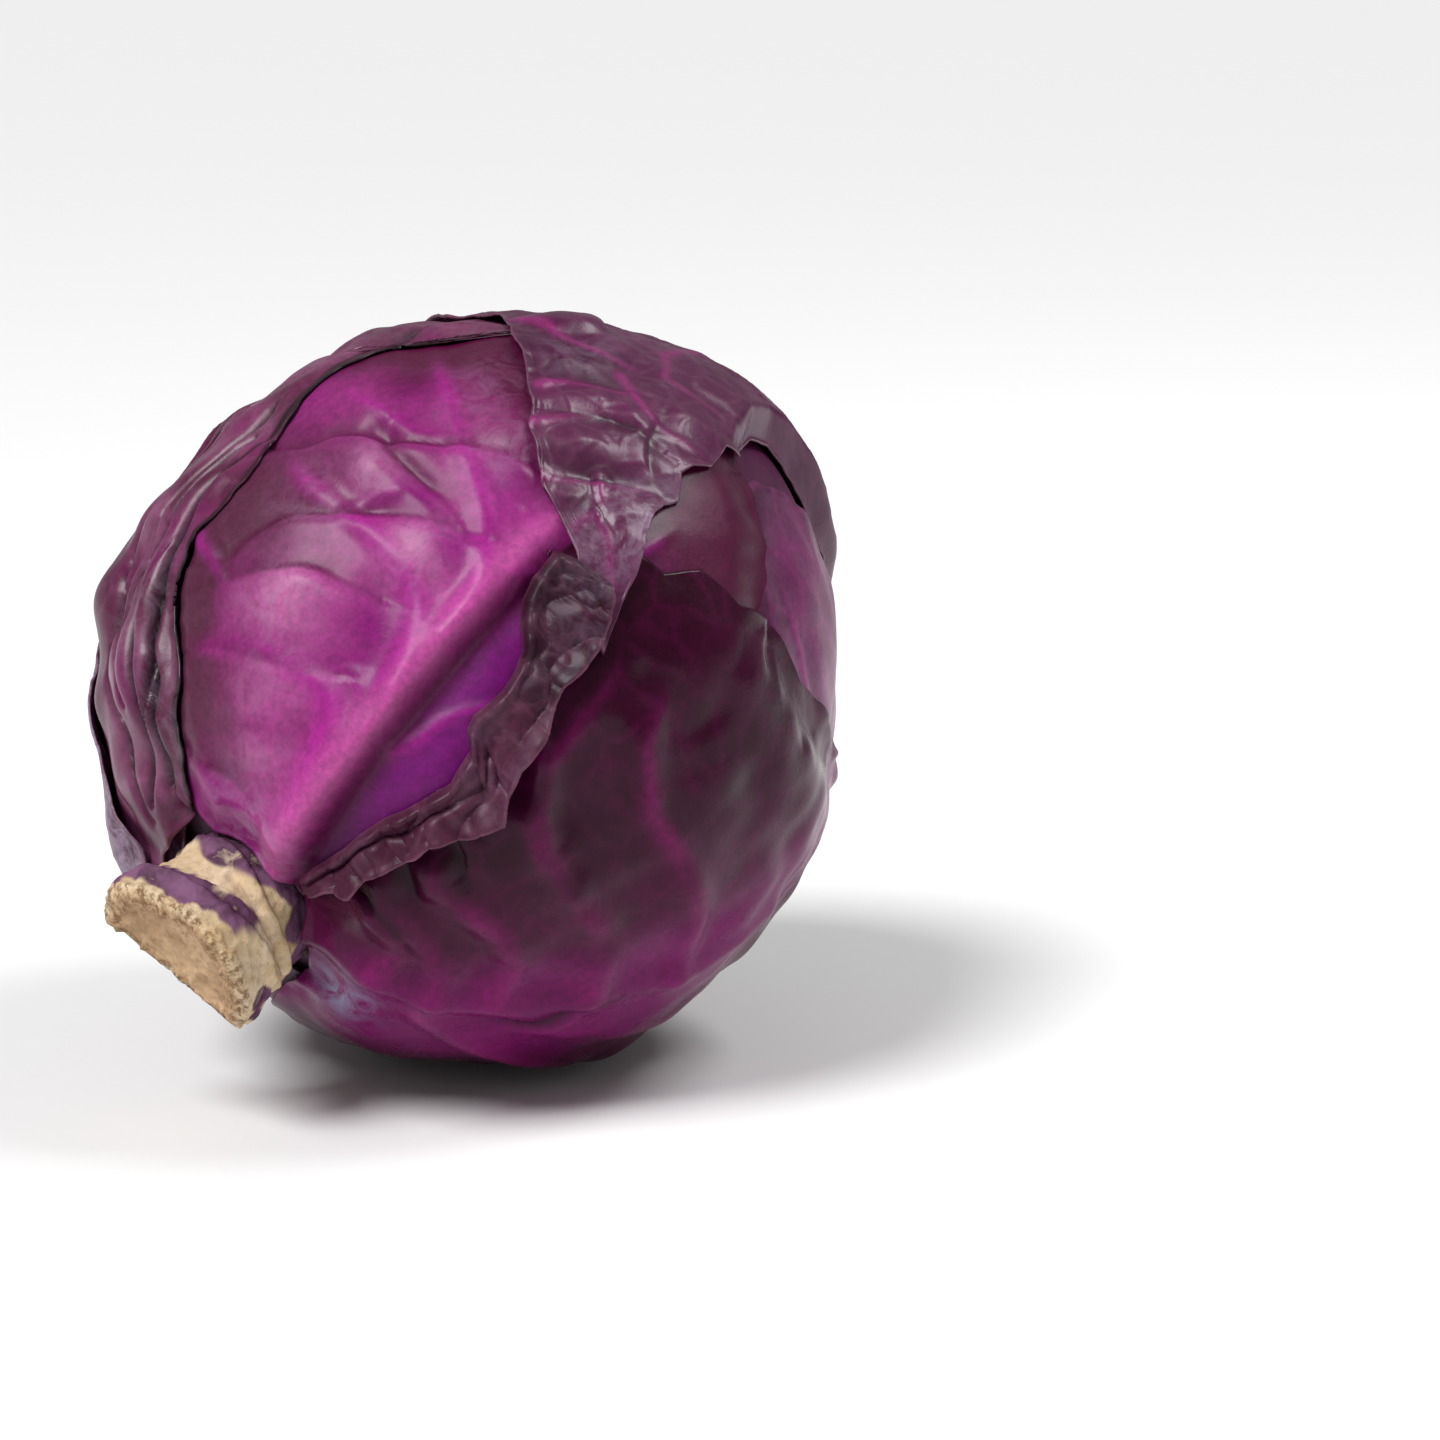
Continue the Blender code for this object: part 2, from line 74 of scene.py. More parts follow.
floor_source = bmesh.new()
bmesh.ops.create_circle(floor_source, cap_ends=True, segments=96, radius=6.0)
floor_mesh = bpy.data.meshes.new("floor")
floor_source.to_mesh(floor_mesh)
floor_source.free()
floor = bpy.data.objects.new("floor", floor_mesh)
bpy.context.scene.collection.objects.link(floor)
floor_paint = bpy.data.materials.new("floor_paint")
floor_paint.use_nodes = True
floor_shader = floor_paint.node_tree.nodes["Principled BSDF"]
floor_shader.inputs["Base Color"].default_value = (0.86, 0.86, 0.86, 1)
floor_shader.inputs["Roughness"].default_value = 0.9
floor_mesh.materials.append(floor_paint)

room = bpy.data.worlds.new("room")
room.use_nodes = True
room_light = room.node_tree.nodes["Background"]
room_light.inputs["Color"].default_value = (1.0, 1.0, 1.0, 1.0)
room_light.inputs["Strength"].default_value = 0.24
bpy.context.scene.world = room

RIGHT_PANEL_AT = Vector((0.62, 0.05, 0.95))
panel_light = bpy.data.lights.new("right_panel", "AREA")
panel_light.shape = "SQUARE"
panel_light.size = 0.42
panel_light.energy = 6.0
panel = bpy.data.objects.new("right_panel", panel_light)
bpy.context.scene.collection.objects.link(panel)
facing = (RIGHT_PANEL_AT - Vector(HEAD_CENTRE)).to_track_quat("Z", "Y").to_matrix().to_4x4()
panel.matrix_world = Matrix.Translation(RIGHT_PANEL_AT) @ facing

day = bpy.data.lights.new("left_light", "SUN")
day.energy = 3.2
day.angle = math.radians(28.0)
day_lamp = bpy.data.objects.new("left_light", day)
bpy.context.scene.collection.objects.link(day_lamp)
day_lamp.matrix_world = Vector((-0.55, -0.50, 0.95)).to_track_quat("Z", "Y").to_matrix().to_4x4()

# The head's shape, shared by every leaf.
# A cabbage head is a slightly long ball of tight leaves. Its stalk points to the front left and a
# little down, and each leaf lies on those under it, so one record of the surface so far is kept.
HEAD_RADIUS = 0.075
HEAD_HALF_LENGTH = 0.080
STALK = np.array([-0.6136, -0.6556, -0.4413])
STALK = STALK / np.linalg.norm(STALK)
CROWN = -STALK
TO_VIEWER = np.array([0.0, -0.978148, 0.207912])
ACROSS = TO_VIEWER - TO_VIEWER.dot(CROWN) * CROWN
ACROSS = ACROSS / np.linalg.norm(ACROSS)
HEAD_FRAME = np.array([ACROSS, np.cross(CROWN, ACROSS), CROWN])
SWELLS = (
    (147.0, 0.0, 0.0040, 20.0), (118.0, -62.0, -0.0018, 14.0), (92.0, -80.0, -0.0015, 12.0),
    (62.0, -96.0, 0.0028, 13.0), (35.0, -122.0, -0.0018, 12.0), (43.0, 118.0, -0.0016, 12.0),
    (68.0, 99.0, 0.0014, 12.0),
)


def unit(vectors):
    """The same vectors, each one long."""
    return vectors / np.linalg.norm(vectors, axis=-1, keepdims=True)


def direction(theta, phi):
    """Unit vectors from the angle off the stalk and the angle around it."""
    t = np.radians(theta)
    p = np.radians(phi)
    return np.stack([np.sin(t) * np.cos(p), np.sin(t) * np.sin(p), -np.cos(t)], axis=-1)


def rib_point(start, along, across):
    """Unit vectors from the angle along a rib that leaves the stump at start, and across it."""
    a = np.radians(along)[..., None]
    b = np.radians(across)[..., None]
    rib = np.sin(a) * direction(90.0, start) + np.cos(a) * np.array([0.0, 0.0, -1.0])
    return np.cos(b) * rib + np.sin(b) * direction(90.0, start + 90.0)


def rib_angles(start, dirs):
    """The reverse: angle along the rib and across it."""
    along = np.degrees(np.arctan2(dirs @ direction(90.0, start), -dirs[..., 2])) % 360.0
    return along, np.degrees(np.arcsin(np.clip(dirs @ direction(90.0, start + 90.0), -1.0, 1.0)))


def in_world(local):
    """Places on the head as places in the scene."""
    return local @ HEAD_FRAME + HEAD_CENTRE


def form(dirs):
    """The head's outer radius in each direction."""
    side = np.hypot(dirs[..., 0], dirs[..., 1])
    radius = 1.0 / np.sqrt((side / HEAD_RADIUS) ** 2 + (dirs[..., 2] / HEAD_HALF_LENGTH) ** 2)
    for theta, phi, height, spread in SWELLS:
        away = np.degrees(np.arccos(np.clip(dirs @ direction(theta, phi), -1.0, 1.0)))
        radius = radius + height * np.exp(-((away / spread) ** 2))
    return radius


def rest_plane(dirs, depth):
    """The radius at which a direction meets the plane depth above the floor."""
    down = -(dirs @ HEAD_FRAME)[..., 2]
    return (HEAD_CENTRE[2] - depth) / np.maximum(down, 0.2)


def above_rest(radius, dirs, depth):
    """Flattens a surface softly where it would reach below that plane."""
    soft = 0.0003
    return -soft * np.logaddexp(-radius / soft, -rest_plane(dirs, depth) / soft)


def resting_form(dirs):
    """The form with the flat that it rests on."""
    return above_rest(form(dirs), dirs, 0.0)


STEP = 0.75
ROWS = int(180 / STEP)
COLS = int(360 / STEP)
ROW_ANGLES = (np.arange(ROWS) + 0.5) * STEP
COL_ANGLES = -180.0 + (np.arange(COLS) + 0.5) * STEP
GRID_DIRS = direction(*np.meshgrid(ROW_ANGLES, COL_ANGLES, indexing="ij"))


def sample(grid, dirs):
    """Reads the surface so far in any direction, bilinearly."""
    theta = np.degrees(np.arccos(np.clip(-dirs[..., 2], -1.0, 1.0)))
    phi = np.degrees(np.arctan2(dirs[..., 1], dirs[..., 0]))
    row = np.clip(theta / STEP - 0.5, 0.0, ROWS - 1.001)
    col = (phi + 180.0) / STEP - 0.5
    i = np.floor(row).astype(int)
    j = np.floor(col).astype(int)
    u = row - i
    v = col - j
    near = grid[i, j % COLS] * (1 - v) + grid[i, (j + 1) % COLS] * v
    far = grid[i + 1, j % COLS] * (1 - v) + grid[i + 1, (j + 1) % COLS] * v
    return near * (1 - u) + far * u


def along_rows(grid, reach, use_max):
    """Spreads each row sideways by the same distance on the sphere."""
    result = np.empty_like(grid)
    for i in range(ROWS):
        width = STEP * math.sin(math.radians(ROW_ANGLES[i]))
        count = min(COLS // 2 - 1, int(math.ceil(reach / width)))
        shifts = np.arange(-count, count + 1)
        moved = grid[i][(np.arange(COLS)[None, :] + shifts[:, None]) % COLS]
        if use_max:
            result[i] = moved.max(axis=0)
        else:
            weight = np.exp(-2.0 * (shifts * width / reach) ** 2)
            result[i] = (moved * weight[:, None]).sum(axis=0) / weight.sum()
    return result


def along_columns(grid, reach, use_max):
    """Spreads each column up and down, over both poles."""
    count = int(math.ceil(reach / STEP))
    first = np.roll(grid[:count][::-1], COLS // 2, axis=1)
    last = np.roll(grid[-count:][::-1], COLS // 2, axis=1)
    padded = np.concatenate([first, grid, last])
    moved = np.array([padded[k : k + ROWS] for k in range(2 * count + 1)])
    if use_max:
        return moved.max(axis=0)
    weight = np.exp(-2.0 * ((np.arange(2 * count + 1) - count) * STEP / reach) ** 2)
    return (moved * weight[:, None, None]).sum(axis=0) / weight.sum()


def draped(grid, reach, soften):
    """How far from the resting form a smooth surface lies that clears every step so far."""
    high = along_columns(along_rows(grid - resting_form(GRID_DIRS), reach, True), reach, True)
    return along_columns(along_rows(high, soften, False), soften, False)


def ripple(dirs, size, seed, count=22):
    """Smooth random bumps, mostly between -1 and 1, about size metres apart on the head."""
    rng = np.random.default_rng(seed)
    waves = unit(rng.normal(size=(count, 3)))
    waves *= (math.pi * HEAD_RADIUS / size * rng.uniform(0.6, 1.4, count))[:, None]
    phases = rng.uniform(0, 2 * math.pi, count)
    return np.sin(dirs @ waves.T + phases).sum(axis=-1) / math.sqrt(2.0 * count)


def wander(dirs, size, amount, seed):
    """Moves directions about a little, so that a line drawn over them wanders."""
    push = np.stack([ripple(dirs, size, seed + k) for k in range(3)], axis=-1)
    return unit(dirs + amount / HEAD_RADIUS * push)


def smooth_step(x, low, high):
    """Nought before low, one past high, and a soft rise between; low may be the greater."""
    t = np.clip((x - low) / (high - low), 0.0, 1.0)
    return t * t * (3 - 2 * t)


def line_distance(dirs, start, path):
    """Distance in metres to a line of (along, across) points, how far along it, and which side."""
    corners = np.array(path, float)
    points = rib_point(start, corners[:, 0], corners[:, 1])
    best = np.full(dirs.shape[:-1], 9.0)
    along = np.zeros(dirs.shape[:-1])
    side = np.ones(dirs.shape[:-1])
    for k in range(len(points) - 1):
        step = points[k + 1] - points[k]
        t = np.clip(((dirs - points[k]) @ step) / step.dot(step), 0.0, 1.0)
        off = np.linalg.norm(dirs - unit(points[k] + t[..., None] * step), axis=-1)
        nearer = off < best
        best = np.where(nearer, off, best)
        along = np.where(nearer, (k + t) / (len(points) - 1), along)
        side = np.where(nearer, np.sign(dirs @ np.cross(points[k], step)), side)
    return best * HEAD_RADIUS, along, side


def rounded(path):
    """The same path with its corners cut off twice."""
    points = np.array(path, float)
    for _ in range(2):
        near = 0.75 * points[:-1] + 0.25 * points[1:]
        far = 0.25 * points[:-1] + 0.75 * points[1:]
        middle = np.stack([near, far], axis=1).reshape(-1, 2)
        points = np.concatenate([points[:1], middle[1:-1], points[-1:]])
    return tuple(map(tuple, points))


def ridge(dirs, start, path, height, width, end_height=None, end_width=None):
    """A raised line, or a sunken one with a negative height, that tapers along its path."""
    off, along, _ = line_distance(dirs, start, path)
    h = height + ((height if end_height is None else end_height) - height) * along
    w = width + ((width if end_width is None else end_width) - width) * along
    end = 0.3 + 0.7 * smooth_step(along, 1.0, 0.85)
    return h * end * np.exp(-((off / w) ** 2))


def fold_fade(along):
    """A fold is deepest halfway along and fades at both ends."""
    return np.sin(np.pi * np.clip(along * 0.92 + 0.04, 0.0, 1.0)) ** 0.5


def crease(dirs, start, path, height, sharp=0.0008, spread=0.0075):
    """A fold: the blade is high on the left of the path, drops sharply over it, and eases back."""
    off, along, side = line_distance(dirs, start, path)
    across = side * np.sign(height) * off
    rise = 0.5 + 0.5 * np.tanh(across / sharp)
    bulge = np.exp(-off / spread)
    hollow = np.exp(-off / (0.55 * spread))
    notch = 1 - 0.5 * np.exp(-((off / 0.0020) ** 2))
    return abs(height) * fold_fade(along) * (rise * bulge * notch - (1 - rise) * 1.2 * hollow)


def crease_shade(dirs, start, creases):
    """Painted shade: one in the bottom of each fold, falling to nought."""
    shade = np.zeros(dirs.shape[:-1])
    for path, height in creases:
        off, along, side = line_distance(dirs, start, path)
        across = side * np.sign(height) * off + 0.0006
        near = np.where(across > 0, np.exp(-((across / 0.0008) ** 2)), np.exp(across / 0.0040))
        shade = np.maximum(shade, fold_fade(along) * near * min(1.0, abs(height) / 0.0012))
    return shade


def bump(dirs, start, at, height, radius):
    """A low round swelling at (along, across)."""
    middle = rib_point(start, np.array(at[0], float), np.array(at[1], float))
    return height * np.exp(-((np.linalg.norm(dirs - middle, axis=-1) * HEAD_RADIUS / radius) ** 2))


def blisters(dirs, start, veins, height, width):
    """The blade swells between its veins and is held down along them."""
    nearest = np.full(dirs.shape[:-1], 9.0)
    for path in veins:
        nearest = np.minimum(nearest, line_distance(dirs, start, path)[0])
    return height * (1.0 - np.exp(-((nearest / width) ** 2)))


def vein_mask(dirs, start, veins, width):
    """One on the veins, falling to nought beside them."""
    mask = np.zeros(dirs.shape[:-1])
    for path in veins:
        off, along, _ = line_distance(dirs, start, path)
        ends = (1.0 - 0.5 * along) * smooth_step(along, 1.0, 0.8)
        mask = np.maximum(mask, ends * np.exp(-((off / (width * (1.3 - 0.6 * along))) ** 2)))
    return mask


def net(dirs, cell, seed, warp=0.0012):
    """The fine net of veins between the larger ones: one on its threads, falling to nought."""
    rng = np.random.default_rng(seed)
    count = int(4 * math.pi * HEAD_RADIUS**2 / cell**2)
    tree = kdtree.KDTree(count)
    for k, spot in enumerate(unit(rng.normal(size=(count, 3)))):
        tree.insert(Vector(spot), k)
    tree.balance()
    moved = wander(dirs, cell * 0.7, warp, seed + 5).reshape(-1, 3)
    gap = np.empty(len(moved))
    for k, place in enumerate(moved):
        nearest, second = tree.find_n(place, 2)
        gap[k] = second[2] - nearest[2]
    return np.exp(-((gap.reshape(dirs.shape[:-1]) * HEAD_RADIUS / (0.16 * cell)) ** 2))


def around(centre):
    """A leaf's middle, and two directions square to it, the first toward the stump."""
    middle = direction(*centre)
    toward = np.array([0.0, 0.0, -1.0]) + middle[2] * middle
    toward = toward / np.linalg.norm(toward)
    return middle, toward, np.cross(middle, toward)


NECK_ANGLE = 13.0


def leaf_reach(turn, centre, margin, waves, seed):
    """How far a leaf's margin is from its middle, in degrees, for each turn about the middle."""
    middle, toward, side = around(centre)
    points = direction(*np.array(margin, float).T)
    away = np.degrees(np.arccos(np.clip(points @ middle, -1.0, 1.0)))
    turns = np.arctan2(points @ side, points @ toward)
    order = np.argsort(turns)
    reach = np.interp(turn, turns[order], away[order], period=2 * math.pi)
    rng = np.random.default_rng(seed)
    for wave in (7, 13, 22, 37, 61):
        size = waves * rng.uniform(0.4, 1.0) * (7.0 / wave) ** 0.45
        reach = reach + size * np.sin(wave * turn + rng.uniform(0, 2 * math.pi))
    cos_c = math.cos(math.radians(centre[0]))
    sin_c = math.sin(math.radians(centre[0]))
    size = np.sqrt(cos_c**2 + (sin_c * np.cos(turn)) ** 2)
    lean = np.arctan2(sin_c * np.cos(turn), cos_c)
    inside = np.clip(math.cos(math.radians(NECK_ANGLE)) / size, -1.0, 1.0)
    entry = np.degrees(lean - np.arccos(inside))
    crosses = (size > math.cos(math.radians(NECK_ANGLE))) & (entry > 0)
    return np.where(crosses, np.minimum(reach, entry), reach)


def oval(centre, toward_stump, toward_crown, half_width, count=24):
    """A broad oval margin about a leaf's middle, as angles off the stalk and around it."""
    middle, toward, side = around(centre)
    found = []
    for turn in np.arange(count) * 2 * math.pi / count:
        ahead = math.cos(turn)
        length = toward_stump if ahead > 0 else toward_crown
        reach = math.radians(1.0 / math.hypot(ahead / length, math.sin(turn) / half_width))
        point = math.cos(reach) * middle + math.sin(reach) * (ahead * toward + math.sin(turn) * side)
        found.append((math.degrees(math.acos(-point[2])), math.degrees(math.atan2(point[1], point[0]))))
    return found


def round_leaf(centre, margin, waves, seed):
    """A leaf spread about its middle: where its grid lies, what it covers, and how near its margin."""
    middle, toward, side = around(centre)

    def layout(x, y):
        u = x * np.sqrt(1.0 - y * y / 2.0)
        v = y * np.sqrt(1.0 - x * x / 2.0)
        radius = np.hypot(u, v)
        turn = np.arctan2(v, u)
        away = np.radians(radius * leaf_reach(turn, centre, margin, waves, seed))[:, None]
        out = np.cos(turn)[:, None] * toward + np.sin(turn)[:, None] * side
        return np.cos(away) * middle + np.sin(away) * out

    def closeness(dirs):
        away = np.degrees(np.arccos(np.clip(dirs @ middle, -1.0, 1.0)))
        turn = np.arctan2(dirs @ side, dirs @ toward)
        return away / leaf_reach(turn, centre, margin, waves, seed)

    return layout, closeness


def long_leaf(start, margins):
    """A leaf laid out along its rib, from rows of angle along the rib and the margin on each side."""
    along, low, high = np.array(margins, float).T

    def layout(x, y):
        a = along[0] + (along[-1] - along[0]) * (x + 1) / 2
        b = np.interp(a, along, low) * (1 - y) / 2 + np.interp(a, along, high) * (1 + y) / 2
        return rib_point(start, a, b)

    def closeness(dirs):
        a, b = rib_angles(start, dirs)
        near = np.interp(a, along, low)
        far = np.interp(a, along, high)
        over = np.abs(2 * (b - near) / np.maximum(far - near, 0.5) - 1)
        ends = np.abs(2 * (a - along[0]) / (along[-1] - along[0]) - 1)
        return np.maximum(over, ends)

    return layout, closeness


def read_points(mesh):
    """The places of a mesh's points."""
    flat = np.empty(len(mesh.vertices) * 3, np.float32)
    mesh.vertices.foreach_get("co", flat)
    return flat.reshape(-1, 3).astype(float)


def move_points(mesh, places):
    """Puts a mesh's points at new places."""
    mesh.vertices.foreach_set("co", places.astype(np.float32).ravel())


def flat_grid(name, divisions):
    """A square grid mesh, with how far each point is across it and up it, from -1 to 1."""
    source = bmesh.new()
    bmesh.ops.create_grid(source, x_segments=divisions[0], y_segments=divisions[1], size=1.0)
    mesh = bpy.data.meshes.new(name)
    source.to_mesh(mesh)
    source.free()
    points = read_points(mesh)
    return mesh, points[:, 0], points[:, 1]


def thicken(piece, thickness):
    """Gives a blade its thickness, half of it on each side."""
    shell = piece.modifiers.new("thickness", "SOLIDIFY")
    shell.thickness = thickness
    shell.offset = 0.0


def smooth_object(name, mesh, skin, node):
    """A finished mesh becomes a piece that rides on the head and stands for its solid."""
    for polygon in mesh.polygons:
        polygon.use_smooth = True
    mesh.materials.append(skin)
    piece = bpy.data.objects.new(name, mesh)
    bpy.context.scene.collection.objects.link(piece)
    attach(piece, "root")
    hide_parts(node)
    return piece


def give(mesh, name, values):
    """Stores one number from 0 to 1 for each point, for the material to read."""
    layer = mesh.attributes.new(name, "FLOAT", "POINT")
    layer.data.foreach_set("value", np.ascontiguousarray(np.clip(values, 0, 1), dtype=np.float32))


LEAF_THICKNESS = 0.0005
GAP_UNDER_BLADE = 0.00015
GAP_UNDER_MARGIN = 0.00005


def wrap_leaf(
    name, top, shape, depth, rest_depth, relief, marks, skin, divisions,
    cling=0.75, toward=(0.0, 0.0),
):
    """Drapes a leaf over the surface so far, and returns that surface with the leaf on it."""
    layout, closeness = shape
    half = LEAF_THICKNESS / 2
    loose = draped(top, 1.5, 2.0) + GAP_UNDER_BLADE + half
    tight = draped(top, 0.8, 0.8) + GAP_UNDER_MARGIN + half

    def middle_surface(dirs):
        close = closeness(dirs)
        held = smooth_step(close, 0.84, 0.98)
        lowest = resting_form(dirs) + sample(loose, dirs) * (1 - held) + sample(tight, dirs) * held
        radius = np.maximum(lowest, form(dirs) - depth - half)
        held = cling * smooth_step(close, 0.80, 0.99)
        radius = radius + held * (lowest - radius)
        soft = 0.0005 - 0.0003 * held
        radius = lowest + soft * np.logaddexp(0.0, (radius + relief(dirs, close) - lowest) / soft)
        radius = above_rest(radius, dirs, rest_depth + half)
        return np.minimum(radius, rest_plane(dirs, rest_depth + half))

    mesh, x, y = flat_grid(name, divisions)
    dirs = layout(x + toward[0] * (1 - x**2), y + toward[1] * (1 - y**2))
    move_points(mesh, in_world(dirs * middle_surface(dirs)[:, None]))
    for mark, values in marks(dirs, closeness(dirs)).items():
        give(mesh, mark, values)
    mesh.update()
    middle_face = mesh.polygons[len(mesh.polygons) // 2]
    if np.array(middle_face.normal) @ (np.array(middle_face.center) - HEAD_CENTRE) < 0:
        mesh.flip_normals()
    thicken(smooth_object(name + "_blade", mesh, skin, name), LEAF_THICKNESS)
    outer = middle_surface(GRID_DIRS) + half
    return np.where(closeness(GRID_DIRS) < 1.0, np.maximum(top, outer), top)


def colour(red, green, blue):
    """A colour given in 0 to 255 steps of brightness as the eye sees it."""
    steps = np.array([red, green, blue]) / 255.0
    linear = np.where(steps <= 0.04045, steps / 12.92, ((steps + 0.055) / 1.055) ** 2.4)
    return (*[float(value) for value in linear], 1.0)


class Skin:
    """Builds one leaf material a step at a time."""

    def __init__(self, name):
        self.material = bpy.data.materials.new(name)
        self.material.use_nodes = True
        self.tree = self.material.node_tree
        self.shader = self.tree.nodes["Principled BSDF"]
        self.coordinates = self.tree.nodes.new("ShaderNodeTexCoord").outputs["Object"]

    def node(self, kind, inputs=(), **settings):
        """A new node with its inputs set or linked."""
        made = self.tree.nodes.new(kind)
        for key, value in settings.items():
            setattr(made, key, value)
        for key, value in dict(inputs).items():
            self.put(made.inputs[key], value)
        return made

    def put(self, socket, value):
        """Links a socket to another, or sets it to a plain value."""
        if isinstance(value, bpy.types.NodeSocket):
            self.tree.links.new(value, socket)
        else:
            socket.default_value = value

    def mark(self, name):
        """The numbers stored on the mesh under this name."""
        return self.node("ShaderNodeAttribute", attribute_name=name).outputs["Fac"]

    def noise(self, scale, detail=3.0, roughness=0.55, warp=0.0):
        """Soft random numbers over the surface, mostly near one half."""
        settings = {"Scale": scale, "Detail": detail, "Roughness": roughness, "Distortion": warp}
        return self.node("ShaderNodeTexNoise", {"Vector": self.coordinates, **settings}).outputs["Fac"]

    def fit(self, value, low, high, to_low=0.0, to_high=1.0):
        """Spreads the numbers from low to high over another range."""
        settings = {"Value": value, "From Min": low, "From Max": high, "To Min": to_low, "To Max": to_high}
        return self.node("ShaderNodeMapRange", settings).outputs["Result"]

    def combine(self, kind, first, second):
        """Adds, multiplies or otherwise joins two numbers."""
        made = self.node("ShaderNodeMath", operation=kind)
        self.put(made.inputs[0], first)
        self.put(made.inputs[1], second)
        return made.outputs[0]

    def mix(self, amount, first, second):
        """Goes from the first colour to the second."""
        made = self.node("ShaderNodeMix", data_type="RGBA")
        self.put(made.inputs["Factor"], amount)
        self.put(made.inputs["A"], first)
        self.put(made.inputs["B"], second)
        return made.outputs["Result"]

    def with_bumps(self, coarse, fine):
        """The finished material, with two layers of (height, strength, distance) in relief."""
        normal = None
        for height, strength, distance in (coarse, fine):
            settings = {"Height": height, "Strength": strength, "Distance": distance}
            layer = self.node("ShaderNodeBump", settings)
            if normal is not None:
                self.put(layer.inputs["Normal"], normal)
            normal = layer.outputs["Normal"]
        self.put(self.shader.inputs["Normal"], normal)
        return self.material


def leaf_skin(name, blade, light, marks, wax=(150, 120, 160), roughness=0.38, shine=0.26):
    """A waxy leaf skin: mottled blade, marked parts (some of them painted highlight and shade), a dusty
    bloom, and fine veins in relief.
    """
    skin = Skin(name)
    broad = skin.noise(38.0, 3.0, 0.6, 0.4)
    fine = skin.noise(620.0, 4.0, 0.7)
    base = skin.mix(skin.fit(broad, 0.35, 0.68), colour(*blade), colour(*light))
    for mark, shade in marks:
        base = skin.mix(skin.mark(mark), base, colour(*shade))
    speck = skin.fit(fine, 0.35, 0.7, 0.76, 1.16)
    shaded = skin.node("ShaderNodeMix", data_type="RGBA", blend_type="MULTIPLY")
    shaded.inputs["Factor"].default_value = 1.0
    skin.put(shaded.inputs["A"], base)
    grey = skin.node("ShaderNodeCombineColor", {"Red": speck, "Green": speck, "Blue": speck})
    skin.put(shaded.inputs["B"], grey.outputs["Color"])
    patch = skin.fit(skin.noise(160.0, 5.0, 0.7, 0.8), 0.42, 0.62)
    bloom = skin.combine("MULTIPLY", skin.mark("bloom"), patch)
    skin.put(skin.shader.inputs["Base Color"], skin.mix(bloom, shaded.outputs["Result"], colour(*wax)))
    rough = skin.fit(skin.noise(90.0, 4.0), 0.3, 0.7, roughness - 0.06, roughness + 0.10)
    rough = skin.combine("ADD", rough, skin.combine("MULTIPLY", bloom, 0.2))
    skin.put(skin.shader.inputs["Roughness"], rough)
    skin.shader.inputs["Specular IOR Level"].default_value = shine
    skin.shader.inputs["Coat Weight"].default_value = 0.05
    skin.shader.inputs["Coat Roughness"].default_value = 0.20
    cells = {"Vector": skin.coordinates, "Scale": 330.0}
    threads = skin.node("ShaderNodeTexVoronoi", cells, feature="DISTANCE_TO_EDGE")
    net_height = skin.fit(threads.outputs["Distance"], 0.0, 0.16, 1.0, 0.0)
    return skin.with_bumps((net_height, 0.12, 0.00010), (skin.noise(1500.0, 3.0, 0.6), 0.30, 0.00010))


# The inner head.
# Many leaves wrapped tightly round the stalk's core. Only slivers of it show around the stump and
# between the outer leaves, as smooth low folds that run up to the crown.
INNER_HEAD_DEPTH = 0.0074
INNER_FOLDS = (
    ((20, 30), (60, 25), (100, 10), (150, -30)),
    ((20, 150), (60, 140), (100, 120), (150, 60)),
    ((20, -90), (60, -95), (100, -120), (150, -160)),
)


def inner_radius(dirs):
    """The inner head's surface, drawn in round the stump and flattened where the head rests."""
    off_stump = np.degrees(np.arccos(np.clip(-dirs[..., 2], -1.0, 1.0)))
    radius = form(dirs) - INNER_HEAD_DEPTH - 0.0030 * np.exp(-((off_stump / 17.0) ** 2))
    for fold in INNER_FOLDS:
        radius = radius + ridge(dirs, 0.0, fold, 0.0009, 0.005)
    return above_rest(radius + 0.0003 * ripple(dirs, 0.014, 3), dirs, 0.0060)


ball = bmesh.new()
bmesh.ops.create_icosphere(ball, subdivisions=6, radius=1.0)
ball_mesh = bpy.data.meshes.new("inner_head")
ball.to_mesh(ball_mesh)
ball.free()
ball_dirs = unit(read_points(ball_mesh))
move_points(ball_mesh, in_world(ball_dirs * inner_radius(ball_dirs)[:, None]))
for mark in ("pale", "bloom"):
    give(ball_mesh, mark, 0.7 * np.exp(-((np.degrees(np.arccos(-ball_dirs[:, 2])) / 18.0) ** 2)))
inner_skin = leaf_skin("inner_head_skin", (70, 12, 54), (92, 28, 74), [("pale", (170, 140, 165))])
smooth_object("inner_head_leaves", ball_mesh, inner_skin, "inner_head")
surface = inner_radius(GRID_DIRS)

# The back leaf, the right leaf, the leaf underneath and the upper left leaf.
# Four leaves that the outer ones cover in part: round, dark, with a stout rib and arched side veins
# that leave it by turns. The upper left one shows along the top edge as lengthwise folds.
DARK_MARKS = [("deep", (36, 5, 24)), ("vein", (120, 40, 92))]


def branching(first, last, count, spread):
    """Arched side veins that leave the rib by turns and bend toward the tip."""
    veins = []
    for k in range(count):
        at = first + (last - first) * k / max(1, count - 1)
        for side in (-1, 1):
            reach = spread * (1.0 - 0.35 * k / count)
            bend = at + 3.0 * side
            steps = (0.0, 0.2, 0.45, 0.7, 1.0)
            veins.append(tuple((bend + reach * 0.62 * t**1.25, side * reach * t) for t in steps))
    return veins


